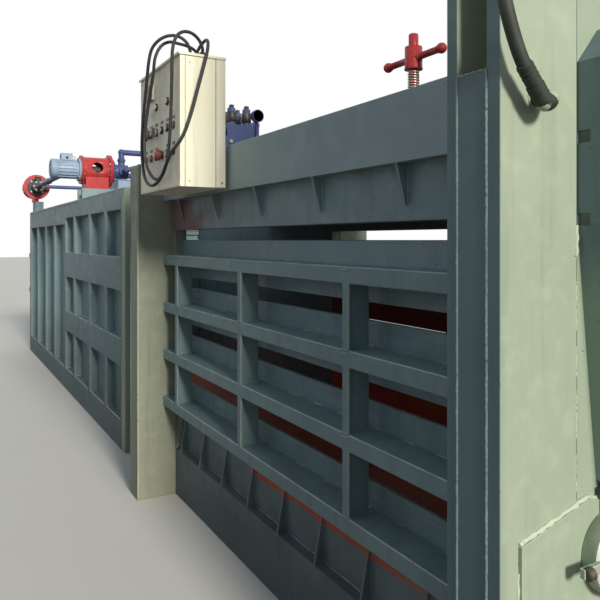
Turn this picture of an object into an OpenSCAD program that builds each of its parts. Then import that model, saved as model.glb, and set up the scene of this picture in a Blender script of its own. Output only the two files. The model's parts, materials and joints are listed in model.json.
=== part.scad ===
// Horizontal recycling baler: welded bale chamber with tying slots, hydraulic ram,
// lift gate in an end portal, power pack on the rear deck and a control cabinet.
// X runs along the machine towards the gate, Y across it, Z up from the ground.
// The operator's side is the right side, at negative Y.

/* [Bale chamber] */
// Inner width between the side walls
chamber_w = 1100; // [1000:10:1200]
// Height of the floor's top face above the ground
floor_z = 500; // [440:10:560]
// Clear height from the floor to the roof
chamber_h = 1250; // [1200:10:1300]
// Thickness of the wall, floor and roof plates
wall_t = 20; // [12:1:25]
// Height of one horizontal wall strip
strip_h = 228; // [200:1:250]
// Height of the tying slot between two wall strips
slot_h = 65; // [40:1:80]
// Number of wall strips on each side
strip_count = 4; // [3:1:4]

/* [Stations along the machine] */
// Back face of the rear end plate
rear_x = -5060; // [-5300:10:-4900]
// Back end of the press box walls
box_x = -1700; // [-1800:10:-1650]
// Front face of the feed frame
feed_x = 200; // [150:10:300]
// Back face of the middle frame
middle_x = 960; // [900:10:1050]
// Length of the middle frame along the machine
middle_l = 163; // [140:1:200]
// Back face of the gate portal
portal_x = 3831; // [3700:1:3900]
// Length of the gate portal along the machine
portal_l = 169; // [160:1:200]

/* [Side planes] */
// Distance of the outer side plane from the centreline
side_y = 700; // [690:1:740]
// Distance of the frame columns' outer face from the centreline
frame_y = 862; // [850:1:900]
// Distance of the skids' outer face from the centreline
skid_y = 620; // [610:1:640]
// Width of one skid
skid_w = 120; // [100:1:160]
// Height of one skid
skid_h = 288; // [250:1:300]

/* [Side shelves] */
// Height of a shelf's front lip
lip_h = 60; // [50:1:70]
// Thickness of the shelf plates
shelf_t = 12; // [8:1:14]
// Depth of a shelf's top below the top of its strip
shelf_drop = 93; // [80:1:110]
// Distance between two posts along the machine
post_pitch = 893; // [850:1:900]
// Distance from the middle frame to the first post's centre
post_first = 236; // [200:1:260]
// Width of a post's face
post_w = 40; // [30:1:60]

/* [Top girders] */
// Underside of the girder channel above the ground
girder_z = 1842; // [1835:1:1860]
// Height of the girder channel
girder_h = 220; // [200:1:240]
// Depth of the girder channel from the side plane inwards
girder_d = 140; // [120:1:145]
// Setback of the lower girder web from the side plane
web_setback = 55; // [45:1:65]
// Distance between two gussets along the machine
gusset_pitch = 513; // [480:1:540]
// Plate thickness of the girder
girder_t = 12; // [10:1:16]

/* [Gate portal] */
// Distance of the columns' inner face from the centreline
portal_inner_y = 600; // [596:1:606]
// Thickness of the front flange that holds the gate
front_flange_t = 40; // [35:1:45]
// Thickness of the rear flange
rear_flange_t = 35; // [30:1:40]
// Height of the crosshead on the columns
crosshead_h = 220; // [200:10:260]
// Top of the cover plate on a column's outer side
cover_z = 1990; // [1800:10:2100]

/* [Gate] */
// Height of the gate plate
gate_h = 1730; // [1700:10:1740]
// Thickness of the gate's outer plate
gate_t = 40; // [30:1:40]
// Thickness of the gate's tongue in the column grooves
tongue_t = 46; // [40:1:48]
// Reach of the tongue into each groove
tongue_reach = 40; // [30:1:42]
// Depth of the stiffening ribs in front of the gate plate
rib_d = 170; // [150:1:180]
// Underside of the rib frame above the ground
rib_z = 1003; // [1000:1:1010]
// Top of the rib frame above the ground
rib_top_z = 2123; // [2100:1:2130]
// Stroke of the gate
gate_stroke = 1250; // [1200:10:1255]
// Bore of the gate cylinder
gate_bore = 100; // [80:1:110]
// Diameter of the gate cylinder's rod
gate_rod_d = 60; // [50:1:63]

/* [Gate locks] */
// Diameter of a lock disc
lock_d = 200; // [180:1:206]
// Distance of a lock's pivot from the centreline
lock_y = 500; // [490:1:510]
// Height of a lock's pivot
lock_z = 830; // [825:1:832]
// Diameter of a lock's pivot pin
lock_pin_d = 50; // [40:1:60]
// Length of the lock's nose from the pivot
lock_nose = 160; // [150:1:162]
// Thickness of a lock disc
lock_t = 40; // [30:1:45]
// Thickness of the bearing plate behind a lock
pad_t = 12; // [10:1:14]

/* [Main cylinder and ram] */
// Bore of the main cylinder
main_bore = 250; // [220:1:260]
// Wall thickness of the main cylinder
main_wall = 30; // [25:1:35]
// Diameter of the main piston rod
main_rod_d = 180; // [160:1:190]
// Stroke of the ram
ram_stroke = 2850; // [2700:10:2860]
// Face of the ram at rest
ram_x = -1500; // [-1510:1:-1490]
// Length of the ram's body behind its face
ram_l = 250; // [240:1:260]
// Gap between the ram and the walls and roof
ram_gap = 8; // [6:1:12]
// Thickness of the ram's plates
ram_t = 40; // [30:1:45]

/* [Rear deck and power pack] */
// Height of the deck's top face
deck_z = 2000; // [1990:1:2020]
// Front edge of the rear deck, where the feed opening starts
deck_front_x = -1480; // [-1500:10:-1450]
// Centre of the front pump set along the machine
pump_x = -1900; // [-1950:10:-1850]
// Height of the pump shafts above the deck
pump_h = 330; // [320:1:350]
// Diameter of a motor
motor_d = 200; // [180:1:210]
// Length of a motor
motor_l = 275; // [250:1:300]
// Diameter of a bell housing's flanges
bell_d = 340; // [320:1:360]
// Length of a bell housing
bell_l = 310; // [300:1:330]
// Diameter of a pump body
pump_d = 150; // [130:1:170]
// Length of a pump body
pump_l = 180; // [160:1:220]
// Distance of the front motor's outer end from the centreline
motor_end_y = 890; // [870:1:900]
// Face of the rear bell housing along the machine
rear_set_x = -4450; // [-4480:10:-4400]
// Distance of the rear set's axis from the centreline
rear_set_y = 690; // [680:1:700]
// Length of the oil tank
tank_l = 1200; // [1000:10:1300]
// Width of the oil tank
tank_w = 600; // [500:10:620]
// Height of the oil tank
tank_h = 350; // [300:10:360]

/* [Control cabinet] */
// Left end of the cabinet along the machine
cabinet_x = 1500; // [1400:10:1600]
// Length of the cabinet along the machine
cabinet_l = 640; // [560:10:640]
// Underside of the cabinet above the ground
cabinet_z = 1852; // [1845:1:1870]
// Height of the cabinet
cabinet_h = 622; // [560:1:640]
// Depth of the cabinet with its door
cabinet_d = 230; // [200:1:240]
// Thickness of the cabinet's door
door_t = 25; // [20:1:30]

/* [Roof screw] */
// Place of the screw along the machine
screw_x = 2680; // [2600:10:2750]
// Outer diameter of the screw's thread
screw_d = 56; // [50:1:60]
// Core diameter of the screw, inside its thread
screw_core_d = 46; // [40:1:48]
// Top of the screw above the ground
screw_top_z = 2560; // [2500:10:2600]
// Length of the T-bar on the screw
bar_l = 380; // [300:10:400]
// Length of the pressure plate in the roof
press_l = 1000; // [800:10:1100]

/* [Hidden] */
$fn = 48;
cut = 1;
seat = 0.3;
run = 0.05;

paint = "darkseagreen";
primer = "indianred";
steel = "silver";

inner_y = chamber_w / 2;
wall_y = inner_y + wall_t;
floor_bottom_z = floor_z - wall_t;
roof_z = floor_z + chamber_h;
strip_pitch = strip_h + slot_h;
strip_first_z = floor_z - 7;
last_strip_top_z = strip_first_z + (strip_count - 1) * strip_pitch + strip_h;
middle_end_x = middle_x + middle_l;
portal_end_x = portal_x + portal_l;
girder_top_z = girder_z + girder_h;
web_y = side_y - web_setback;
origin_sleeper_w = 160;
sleeper_pitch = 1200;
rib_pitch = 640;

groove_x = portal_end_x - front_flange_t - tongue_t - 1;
strip_end_x = groove_x - 5;
gate_front_x = portal_end_x - 2;
tongue_x = portal_end_x - front_flange_t - seat - tongue_t;
gate_z = floor_bottom_z + seat;
rib_front_x = gate_front_x + rib_d;
gate_side_y = portal_inner_y - 4;
gate_cylinder_x = gate_front_x + 92;
gate_pin_z = 950;
gate_barrel_z = rib_top_z + 167;
gate_barrel_wall = 10;
flange_l = 25;
column_h = floor_bottom_z + gate_h + gate_stroke + 20;
gate_barrel_top_z = column_h + crosshead_h + 90;

main_z = (floor_z + roof_z) / 2;
main_od = main_bore + 2 * main_wall;
barrel_x = rear_x + 50;
barrel_front_x = ram_x - ram_l - 110;
bulkhead_x = barrel_front_x - 120;
cover_t = 30;
cover_top_z = roof_z - ram_gap;
cover_rear_x = ram_x - ram_stroke - 60;

deck_t = 20;
pack_base_h = 130;
pump_z = deck_z + pump_h;
bell_y = motor_end_y - motor_l;
pump_y = bell_y - bell_l;
rear_foot_y = 100;

cabinet_back_y = side_y + 20;
cabinet_front_y = cabinet_back_y + cabinet_d;
door_gap = 2;

// Box between two corners
module slab(x0, x1, y0, y1, z0, z1) {
    translate([x0, y0, z0]) cube([x1 - x0, y1 - y0, z1 - z0]);
}

// Shape for one side: 1 keeps it on the left, -1 mirrors it to the right
module on_side(s) {
    mirror([0, s < 0 ? 1 : 0, 0]) children();
}

// Cylinder between two places on an axis along X, Y or Z
module rod_x(x0, x1, y, z, d) {
    translate([x0, y, z]) rotate([0, 90, 0]) cylinder(h = x1 - x0, d = d);
}
module rod_y(x, y0, y1, z, d) {
    translate([x, y0, z]) rotate([-90, 0, 0]) cylinder(h = y1 - y0, d = d);
}
module rod_z(x, y, z0, z1, d) {
    translate([x, y, z0]) cylinder(h = z1 - z0, d = d);
}

// Hexagon bolt head on a face that looks along X
module bolt_x(x, y, z, d, h) {
    translate([x, y, z]) rotate([0, 90, 0]) cylinder(h = h, d = d * 1.8, $fn = 6);
}

// Base frame
anchor_d = 26;
anchor_foot = 130;
anchor_spacing_x = 90;
skid_gusset_first = 70;
skid_gusset_pitch = 320;
skid_gusset_count = floor((portal_x - middle_end_x - skid_gusset_first - shelf_t) / skid_gusset_pitch) + 1;
module skid_gusset(x) {
    translate([x, 0, 0])
        rotate([90, 0, 90])
            linear_extrude(shelf_t)
                polygon([[wall_y, skid_h], [skid_y, skid_h], [wall_y + 12, floor_bottom_z],
                    [wall_y, floor_bottom_z]]);
}
module sleeper(x, w) {
    slab(x - w / 2, x + w / 2, -(skid_y - skid_w), skid_y - skid_w, 0, skid_h);
}
module base_side() {
    difference() {
        slab(rear_x + 40, portal_x, skid_y - skid_w, skid_y, 0, skid_h);
        slab(rear_x, portal_x + cut, skid_y - skid_w + 15, skid_y - 15, 25, skid_h - 25);
    }
    slab(box_x, portal_x, wall_y - 20, wall_y, skid_h, floor_bottom_z);
    for (i = [0 : skid_gusset_count - 1])
        skid_gusset(middle_end_x + skid_gusset_first + i * skid_gusset_pitch);
}
module base_frame() {
    color(paint) {
        for (s = [-1, 1]) on_side(s) base_side();
        sleeper(0, origin_sleeper_w);
        for (i = [-4, -3, -2, -1, 1, 2]) sleeper(i * sleeper_pitch, 120);
        for (i = [0 : 8]) {
            x = box_x + 60 + i * rib_pitch;
            slab(x, x + 20, -(wall_y - 20), wall_y - 20, skid_h, floor_bottom_z);
        }
        slab(portal_x, portal_end_x, -portal_inner_y, portal_inner_y, 0, floor_bottom_z);
    }
}

// Floor of the press box and the bale chamber
module chamber_floor() {
    color(primer) slab(box_x, strip_end_x, -inner_y, inner_y, floor_bottom_z, floor_z);
}

// Wall strips with the tying slots between them
module wall_strips() {
    for (k = [0 : strip_count - 1]) {
        z = strip_first_z + k * strip_pitch;
        slab(middle_end_x, strip_end_x, inner_y, wall_y, k == 0 ? floor_bottom_z : z, z + strip_h);
    }
}

// Shelf channels outside the wall strips, with the posts between them
module shelf(k) {
    top_z = strip_first_z + k * strip_pitch + strip_h - shelf_drop;
    slab(middle_end_x, portal_x, wall_y, side_y, top_z - shelf_t, top_z);
    slab(middle_end_x, portal_x, side_y - shelf_t, side_y, top_z - lip_h, top_z - shelf_t);
}
post_gap = 30;
module post(x, z0, z1) {
    slab(x - post_w / 2, x + post_w / 2, side_y - shelf_t, side_y, z0, z1);
    slab(x - shelf_t / 2, x + shelf_t / 2, wall_y + post_gap, side_y - shelf_t, z0, z1);
}
module shelf_rails() {
    for (k = [0 : strip_count - 1]) shelf(k);
    for (i = [0 : 2], k = [0 : strip_count - 2]) {
        x = middle_end_x + post_first + i * post_pitch;
        lower_z = strip_first_z + k * strip_pitch + strip_h - shelf_drop;
        post(x, lower_z, lower_z + strip_pitch - shelf_t);
    }
}

// Top side girder: channel above, set back web with gussets below
module girder_gusset(x) {
    h = girder_z - roof_z + 40;
    translate([x, 0, 0])
        rotate([90, 0, 90])
            linear_extrude(girder_t)
                polygon([[web_y, girder_z], [side_y - 6, girder_z], [web_y + 12, girder_z - h],
                    [web_y, girder_z - h]]);
}
module top_girder() {
    slot_top_z = last_strip_top_z + slot_h - 3;
    x0 = middle_end_x;
    x1 = portal_x;
    slab(x0, x1, side_y - girder_t, side_y, girder_z, girder_top_z);
    slab(x0, x1, side_y - girder_d, side_y - girder_t, girder_z, girder_z + girder_t);
    slab(x0, x1, side_y - girder_d, side_y - girder_t, girder_top_z - girder_t, girder_top_z);
    slab(x0, x1, web_y - girder_t, web_y, slot_top_z, girder_z);
    slab(x0, x1, inner_y, web_y - girder_t, slot_top_z, slot_top_z + girder_t);
    slab(x0, strip_end_x, inner_y, wall_y, slot_top_z + girder_t, roof_z);
    for (i = [0 : 4]) girder_gusset(middle_end_x + 235 + i * gusset_pitch);
}

// Roof plates that guide the pressure plate, cross beams, and two bars that carry the screw's nut
press_x0 = screw_x - press_l / 2;
press_x1 = screw_x + press_l / 2;
beam_w = 100;
nut_z = girder_top_z - 30;
nut_h = 60;
module roof_beam(x) {
    difference() {
        slab(x - beam_w / 2, x + beam_w / 2, -(side_y - girder_d), side_y - girder_d,
            roof_z + wall_t, girder_z + 160);
        slab(x - beam_w / 2 + 10, x + beam_w / 2 - 10, -(side_y - girder_d - 10),
            side_y - girder_d - 10, roof_z + wall_t - cut, girder_z + 150);
    }
}
nut_bar_w = 50;
nut_bar_gap = 90;
module roof_frame() {
    color(paint) {
        slab(feed_x, press_x0 - seat, -wall_y, wall_y, roof_z, roof_z + wall_t);
        slab(press_x1 + seat, strip_end_x, -wall_y, wall_y, roof_z, roof_z + wall_t);
        for (x = [press_x0 - 5 - beam_w / 2, press_x1 + 5 + beam_w / 2, middle_end_x + 330])
            roof_beam(x);
        for (x = [screw_x - nut_bar_gap / 2 - nut_bar_w, screw_x + nut_bar_gap / 2])
            slab(x, x + nut_bar_w, -(side_y - girder_t), side_y - girder_t, girder_z + 60, nut_z);
        difference() {
            rod_z(screw_x, 0, nut_z + seat, nut_z + nut_h, screw_d + 70);
            rod_z(screw_x, 0, nut_z, nut_z + nut_h + cut, screw_d + 2 * run);
        }
    }
}

// Middle frame round the chamber
module box_column(x0, x1, y0, y1, z0, z1, t) {
    difference() {
        slab(x0, x1, y0, y1, z0, z1);
        slab(x0 + t, x1 - t, y0 + t, y1 - t, z0 + t, z1 - t);
    }
}
frame_t = 20;
module middle_frame() {
    color(paint) {
        for (s = [-1, 1]) on_side(s) {
            box_column(middle_x, middle_end_x, skid_y, frame_y, 0, girder_top_z, frame_t);
            slab(middle_x, middle_end_x, wall_y, skid_y, skid_h, girder_top_z);
        }
        box_column(middle_x, middle_end_x, -wall_y, wall_y, roof_z + wall_t, girder_top_z, frame_t);
    }
}

// Gate portal
module portal_column() {
    difference() {
        union() {
            slab(portal_x, portal_x + rear_flange_t, portal_inner_y, frame_y, 0, column_h);
            slab(portal_end_x - front_flange_t, portal_end_x, portal_inner_y, frame_y, 0, column_h);
            slab(portal_x + rear_flange_t, portal_end_x - front_flange_t, frame_y - 122,
                frame_y - 102, 0, column_h);
            slab(portal_x + rear_flange_t, portal_end_x - front_flange_t,
                portal_inner_y + tongue_reach + 1, portal_inner_y + tongue_reach + 21, 0, column_h);
            slab(portal_x + rear_flange_t, groove_x, portal_inner_y,
                portal_inner_y + tongue_reach + 1, 0, column_h);
            slab(portal_x + rear_flange_t, portal_end_x - front_flange_t, frame_y - 12, frame_y,
                0, cover_z);
            slab(portal_x, portal_end_x, frame_y, frame_y + anchor_foot, 0, 30);
            lock_pad();
            rod_x(portal_end_x, lock_front_x + lock_t + 2, lock_y, lock_z, lock_pin_d);
            rod_x(lock_front_x + lock_t + 1, lock_front_x + lock_t + 14, lock_y, lock_z,
                lock_pin_d + 30);
        }
        for (x = [-1, 1]) {
            rod_z((portal_x + portal_end_x) / 2 + x * anchor_spacing_x / 2,
                frame_y + anchor_foot - 50, -cut, 31, anchor_d);
        }
    }
}
lock_front_x = portal_end_x + pad_t + 1;
pad_outer_y = frame_y - 57;
pad_inner_y = lock_y - 70;
module lock_pad() {
    translate([portal_end_x, 0, 0])
        rotate([90, 0, 90])
            linear_extrude(pad_t)
                polygon([[pad_outer_y, 420], [pad_outer_y, 905], [566, 968], [pad_inner_y, 935],
                    [pad_inner_y, 420]]);
}
elbow_x = portal_end_x + 52;
elbow_z = 1945;
module hose_elbow() {
    color("dimgray") pipe([
        [portal_end_x - 2, -745, elbow_z - 15], [elbow_x, -760, elbow_z - 30],
        [elbow_x, -780, elbow_z - 40], [elbow_x, -815, elbow_z]
    ], gate_hose_d + 2);
}
module portal_crosshead() {
    color(paint) difference() {
        union() {
            box_column(portal_x, portal_end_x, -frame_y, frame_y, column_h, column_h + crosshead_h, 25);
            slab(portal_end_x, rib_front_x, -150, 150, column_h, column_h + 40);
            for (y = [-150, 130]) slab(portal_end_x, rib_front_x, y, y + 20, column_h + 40,
                column_h + crosshead_h);
        }
        rod_z(gate_cylinder_x, 0, column_h - cut, column_h + crosshead_h + cut,
            gate_bore + 2 * gate_barrel_wall + 2 * seat);
    }
}

// Gate: plate with tongues in the column grooves, rib frame, rod lug and lock lugs
rib_t = 14;
bay_y = 130;
module rib_outline(inset) {
    top_y = gate_side_y - 76;
    low_y = gate_side_y - (1640 - rib_z) * 0.1136;
    polygon([
        [-(low_y - inset), rib_z + inset], [low_y - inset, rib_z + inset],
        [gate_side_y - inset, 1640], [gate_side_y - inset, rib_top_z - 90],
        [top_y - inset, rib_top_z - inset], [-(top_y - inset), rib_top_z - inset],
        [-(gate_side_y - inset), rib_top_z - 90], [-(gate_side_y - inset), 1640]
    ]);
}
module gate_ribs() {
    translate([gate_front_x, 0, 0]) rotate([90, 0, 90]) {
        linear_extrude(rib_d) difference() {
            rib_outline(0);
            rib_outline(rib_t);
        }
        translate([0, 0, rib_d - rib_t]) linear_extrude(rib_t) difference() {
            rib_outline(rib_t - 1);
            rib_outline(70);
        }
    }
    for (z = [1225, 1435, 1640, 1850]) {
        slab(gate_front_x, rib_front_x - rib_t, -(gate_side_y - 55), -bay_y, z, z + rib_t);
        slab(gate_front_x, rib_front_x - rib_t, bay_y, gate_side_y - 55, z, z + rib_t);
    }
    for (s = [-1, 1]) on_side(s) slab(gate_front_x, rib_front_x - rib_t, bay_y, bay_y + rib_t,
        rib_z, rib_top_z);
}
module gate() {
    color(paint) difference() {
        union() {
            slab(gate_front_x - gate_t, gate_front_x, -gate_side_y, gate_side_y, gate_z,
                gate_z + gate_h);
            slab(tongue_x, tongue_x + tongue_t, -(portal_inner_y + tongue_reach),
                portal_inner_y + tongue_reach, gate_z, gate_z + gate_h);
            gate_ribs();
            for (s = [-1, 1]) on_side(s) {
                slab(gate_front_x, gate_cylinder_x + 50, 37, 62, gate_pin_z - 60, gate_pin_z + 60);
                slab(gate_front_x, gate_front_x + 42, lock_y - lock_nose + 5,
                    lock_y - lock_d / 2 - 8, lock_z - 92, lock_z - 31);
            }
            rod_y(gate_cylinder_x, -70, 70, gate_pin_z, 50);
        }
        for (z = [1635, 1835]) slab(gate_front_x + cut, gate_front_x + 37, -gate_side_y - cut,
            gate_side_y + cut, z, z + 30);
        slab(gate_front_x + cut, rib_front_x + cut, -bay_y, bay_y, rib_z - cut, rib_top_z + cut);
    }
}
module gate_cylinder_rod() {
    piston_z = gate_barrel_z + 60;
    color(steel) {
        difference() {
            rod_y(gate_cylinder_x, -36, 36, gate_pin_z, 90);
            rod_y(gate_cylinder_x, -37, 37, gate_pin_z, 50 + 2 * run);
        }
        rod_z(gate_cylinder_x, 0, gate_pin_z + 40, piston_z + 1, gate_rod_d);
        rod_z(gate_cylinder_x, 0, piston_z, piston_z + 50, gate_bore - 2 * run);
    }
}
module gate_cylinder_barrel() {
    od = gate_bore + 2 * gate_barrel_wall;
    color("dimgray") difference() {
        union() {
            rod_z(gate_cylinder_x, 0, gate_barrel_z, gate_barrel_top_z, od);
            rod_z(gate_cylinder_x, 0, gate_barrel_z, gate_barrel_z + 60, od + 20);
            rod_z(gate_cylinder_x, 0, column_h + 40, column_h + 40 + flange_l, od + 50);
            rod_y(gate_cylinder_x, -110, 0, gate_barrel_top_z - 60, 34);
        }
        rod_z(gate_cylinder_x, 0, gate_barrel_z - cut, gate_barrel_z + 50, gate_rod_d + 2 * run);
        rod_z(gate_cylinder_x, 0, gate_barrel_z + 45, gate_barrel_top_z - 25, gate_bore);
    }
}

// Gate lock: disc with a nose, turning on the column's pin; the nose points up when open
module gate_lock() {
    color(paint) difference() {
        union() {
            rod_x(lock_front_x, lock_front_x + lock_t, lock_y, lock_z, lock_d);
            slab(lock_front_x, lock_front_x + lock_t, lock_y - 30, lock_y + 30, lock_z,
                lock_z + lock_nose);
            rod_x(lock_front_x + lock_t - 1, lock_front_x + lock_t + 10, lock_y + 62, lock_z, 40);
            slab(lock_front_x + lock_t, lock_front_x + lock_t + 14, lock_y + 50,
                lock_y + lock_nose, lock_z - 12, lock_z + 12);
        }
        rod_x(lock_front_x - cut, lock_front_x + lock_t + cut, lock_y, lock_z, lock_pin_d + 2 * run);
    }
}

// Feed frame at the front edge of the feed opening
feed_l = 100;
module feed_frame() {
    color(paint) {
        for (s = [-1, 1]) on_side(s) {
            box_column(feed_x - feed_l, feed_x, skid_y, side_y, 0, deck_z, 12);
            slab(feed_x - feed_l, feed_x, wall_y, skid_y, skid_h, deck_z);
        }
        box_column(feed_x - feed_l, feed_x, -wall_y, wall_y, roof_z + 60, deck_z, 12);
    }
}

// Rear side panels with ribs and rails, from the rear end plate to the feed frame
panel_t = 12;
module rear_panel() {
    x1 = feed_x - feed_l;
    step_x = -2310;
    slab(rear_x + 40, x1, skid_y, skid_y + panel_t, 0, deck_z - deck_t);
    for (r = [[0, 227], [630, 845], [1210, 1470], [1835, deck_z - deck_t]]) {
        slab(step_x, x1, skid_y + panel_t, side_y, r[0], r[1]);
    }
    slab(rear_x + 40, step_x, skid_y + panel_t, side_y, 0, 227);
    slab(rear_x + 40, step_x, skid_y + panel_t, side_y, 1770, deck_z - deck_t);
    for (x = [-420, -1040, -1750, -2250]) slab(x - 45, x + 45, skid_y + panel_t, side_y, 227, 1835);
    for (x = [rear_x + 85, -4300, -3600, -2950]) slab(x - 45, x + 45, skid_y + panel_t, side_y,
        227, 1770);
}

// Press box side wall inside the rear panel, with the rail that carries the ram's cover
module box_wall() {
    slab(box_x, middle_end_x, inner_y, wall_y, floor_bottom_z, roof_z);
    slab(box_x, feed_x - feed_l, wall_y, skid_y, roof_z - 60, roof_z - 40);
    slab(feed_x, middle_x, wall_y, skid_y, roof_z - 60, roof_z - 40);
    slab(cover_rear_x - 60, box_x, inner_y, skid_y, cover_top_z - cover_t - 40,
        cover_top_z - cover_t - seat);
    slab(cover_rear_x - 60, ram_x - ram_l - 20, inner_y - 60, inner_y, cover_top_z - cover_t - 24,
        cover_top_z - cover_t - seat);
}

// Rear deck with the pump bases and the rim of the feed opening
module rear_deck() {
    color(paint) {
        slab(rear_x + 40, deck_front_x, -side_y, side_y, deck_z - deck_t, deck_z);
        for (s = [-1, 1]) on_side(s) {
            slab(deck_front_x, feed_x - feed_l, inner_y, side_y, deck_z - deck_t, deck_z);
            slab(deck_front_x, feed_x - feed_l, inner_y, wall_y, roof_z, deck_z - deck_t);
        }
        slab(deck_front_x - 20, deck_front_x, -wall_y, wall_y, roof_z + 20, deck_z - deck_t);
        for (x = [pump_x - 130, pump_x + 70]) slab(x, x + 60, -bell_y, -150, deck_z,
            deck_z + pack_base_h);
        slab(rear_set_x - bell_l, rear_set_x, -side_y, -side_y + rear_foot_y, deck_z,
            deck_z + pack_base_h);
    }
}

// Rear end plate that takes the push of the main cylinder
thrust_gap = 65;
thrust_h = 60;
thrust_w = 100;
thrust_pitch = 310;
module rear_end_plate() {
    r = main_od / 2 + thrust_gap;
    rib_w = thrust_w - 20;
    color(paint) {
        slab(rear_x, rear_x + 40, -side_y, side_y, 0, deck_z);
        for (z = [main_z - r - thrust_h, main_z + r]) {
            slab(rear_x - thrust_w, rear_x, -side_y, side_y, z, z + thrust_h);
        }
        for (i = [-1.5 : 1.5]) {
            y = i * thrust_pitch - thrust_h / 2;
            slab(rear_x - rib_w, rear_x, y, y + thrust_h, main_z - r, main_z + r);
        }
        rod_x(rear_x + 39, rear_x + 50, 0, main_z, main_od + 60);
    }
}

// Bulkhead that carries the front end of the main cylinder
module bulkhead() {
    color(paint) difference() {
        slab(bulkhead_x, bulkhead_x + 60, -skid_y, skid_y, skid_h, cover_top_z - cover_t - 60);
        rod_x(bulkhead_x - cut, bulkhead_x + 61, 0, main_z, main_od + 2 * seat);
    }
}

// Shear blades at the front edge of the feed opening and on the ram
blade_h = 50;
blade_t = 90;
module fixed_shear_blade() {
    color(steel) {
        slab(feed_x - blade_t, feed_x - cut, -inner_y, inner_y, roof_z + 5, roof_z + 60);
        for (i = [-4 : 4]) bolt_x(feed_x - blade_t - 8, i * 120, roof_z + 32, 16, 9);
    }
}
module ram_shear_blade() {
    w = inner_y - ram_gap;
    color(steel) slab(ram_x - blade_t, ram_x + 4, -w, w, cover_top_z - blade_h, cover_top_z);
}

// Main cylinder
module main_cylinder_barrel() {
    color("dimgray") difference() {
        union() {
            rod_x(barrel_x, barrel_front_x, 0, main_z, main_od);
            rod_x(barrel_x, barrel_x + 60, 0, main_z, main_od + 60);
            rod_x(bulkhead_x + 61, barrel_front_x, 0, main_z, main_od + 70);
            rod_z(barrel_x + 160, 0, main_z + main_od / 2 - 10, main_z + main_od / 2 + 50, 80);
            rod_z(bulkhead_x - 120, 0, main_z + main_od / 2 - 10, main_z + main_od / 2 + 50, 80);
        }
        rod_x(barrel_x + 60, barrel_front_x - 80, 0, main_z, main_bore);
        rod_x(barrel_front_x - 90, barrel_front_x + cut, 0, main_z, main_rod_d + 2 * run);
        rod_z(barrel_x + 160, 0, main_z + main_bore / 2 - 10, main_z + main_od / 2 + 51, 40);
    }
}
module main_piston_rod() {
    piston_x = barrel_x + 70;
    color(steel) {
        rod_x(piston_x, piston_x + 120, 0, main_z, main_bore - 2 * run);
        rod_x(piston_x + 119, ram_x - ram_t - 60, 0, main_z, main_rod_d);
        rod_x(ram_x - ram_t - 60, ram_x - ram_t, 0, main_z, main_rod_d + 120);
    }
}

// Ram: face plate grooved for the tying wires, side plates, bottom plate and shoes
module ram_platen() {
    w = inner_y - ram_gap;
    top_z = cover_top_z - cover_t;
    bottom_z = floor_z + 20;
    color(paint) difference() {
        union() {
            slab(ram_x - ram_t, ram_x, -w, w, bottom_z, cover_top_z - blade_h);
            slab(ram_x - ram_l, ram_x - ram_t, -w, w, bottom_z, bottom_z + ram_t);
            for (s = [-1, 1]) on_side(s) slab(ram_x - ram_l, ram_x - ram_t, w - ram_t, w,
                bottom_z + ram_t, top_z);
            for (s = [-1, 1]) on_side(s) {
                slab(ram_x - ram_l, ram_x - ram_t, main_rod_d / 2 + 70, main_rod_d / 2 + 95,
                    bottom_z + ram_t, top_z);
                slab(ram_x - ram_l, ram_x, w - 120, w - 20, floor_z + seat, bottom_z);
            }
        }
        for (k = [0 : strip_count - 1]) {
            z = strip_first_z + k * strip_pitch + strip_h;
            slab(ram_x - 25, ram_x + cut, -w - cut, w + cut, z + 10, z + slot_h - 10);
        }
        slab(ram_x - blade_t - 1, ram_x + 5, -w - 1, w + 1, cover_top_z - blade_h, roof_z);
    }
}
module ram_top_cover() {
    w = inner_y - ram_gap;
    color(paint) {
        slab(cover_rear_x, ram_x - blade_t, -w, w, cover_top_z - cover_t, cover_top_z);
    }
}

// Roof screw with its T-bar, and the pressure plate that it pushes down
module pressure_plate() {
    w = inner_y - 6;
    color(paint) {
        slab(press_x0, press_x1, -w, w, roof_z, roof_z + wall_t);
        for (y = [-300, 0, 300]) slab(press_x0 + 40, press_x1 - 40, y - 10, y + 10,
            roof_z + wall_t, roof_z + wall_t + 30);
        rod_z(screw_x, 0, roof_z + wall_t, roof_z + wall_t + 32, 140);
    }
}
module tension_screw() {
    bar_z = screw_top_z - 110;
    color("firebrick") {
        rod_z(screw_x, 0, roof_z + wall_t + 32, screw_top_z, screw_core_d);
        rod_z(screw_x, 0, bar_z - 50, bar_z + 50, screw_d + 26);
        rod_x(screw_x - bar_l / 2, screw_x + bar_l / 2, 0, bar_z, 32);
        for (x = [-1, 1]) translate([screw_x + x * bar_l / 2, 0, bar_z]) sphere(d = 48);
    }
}

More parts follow.
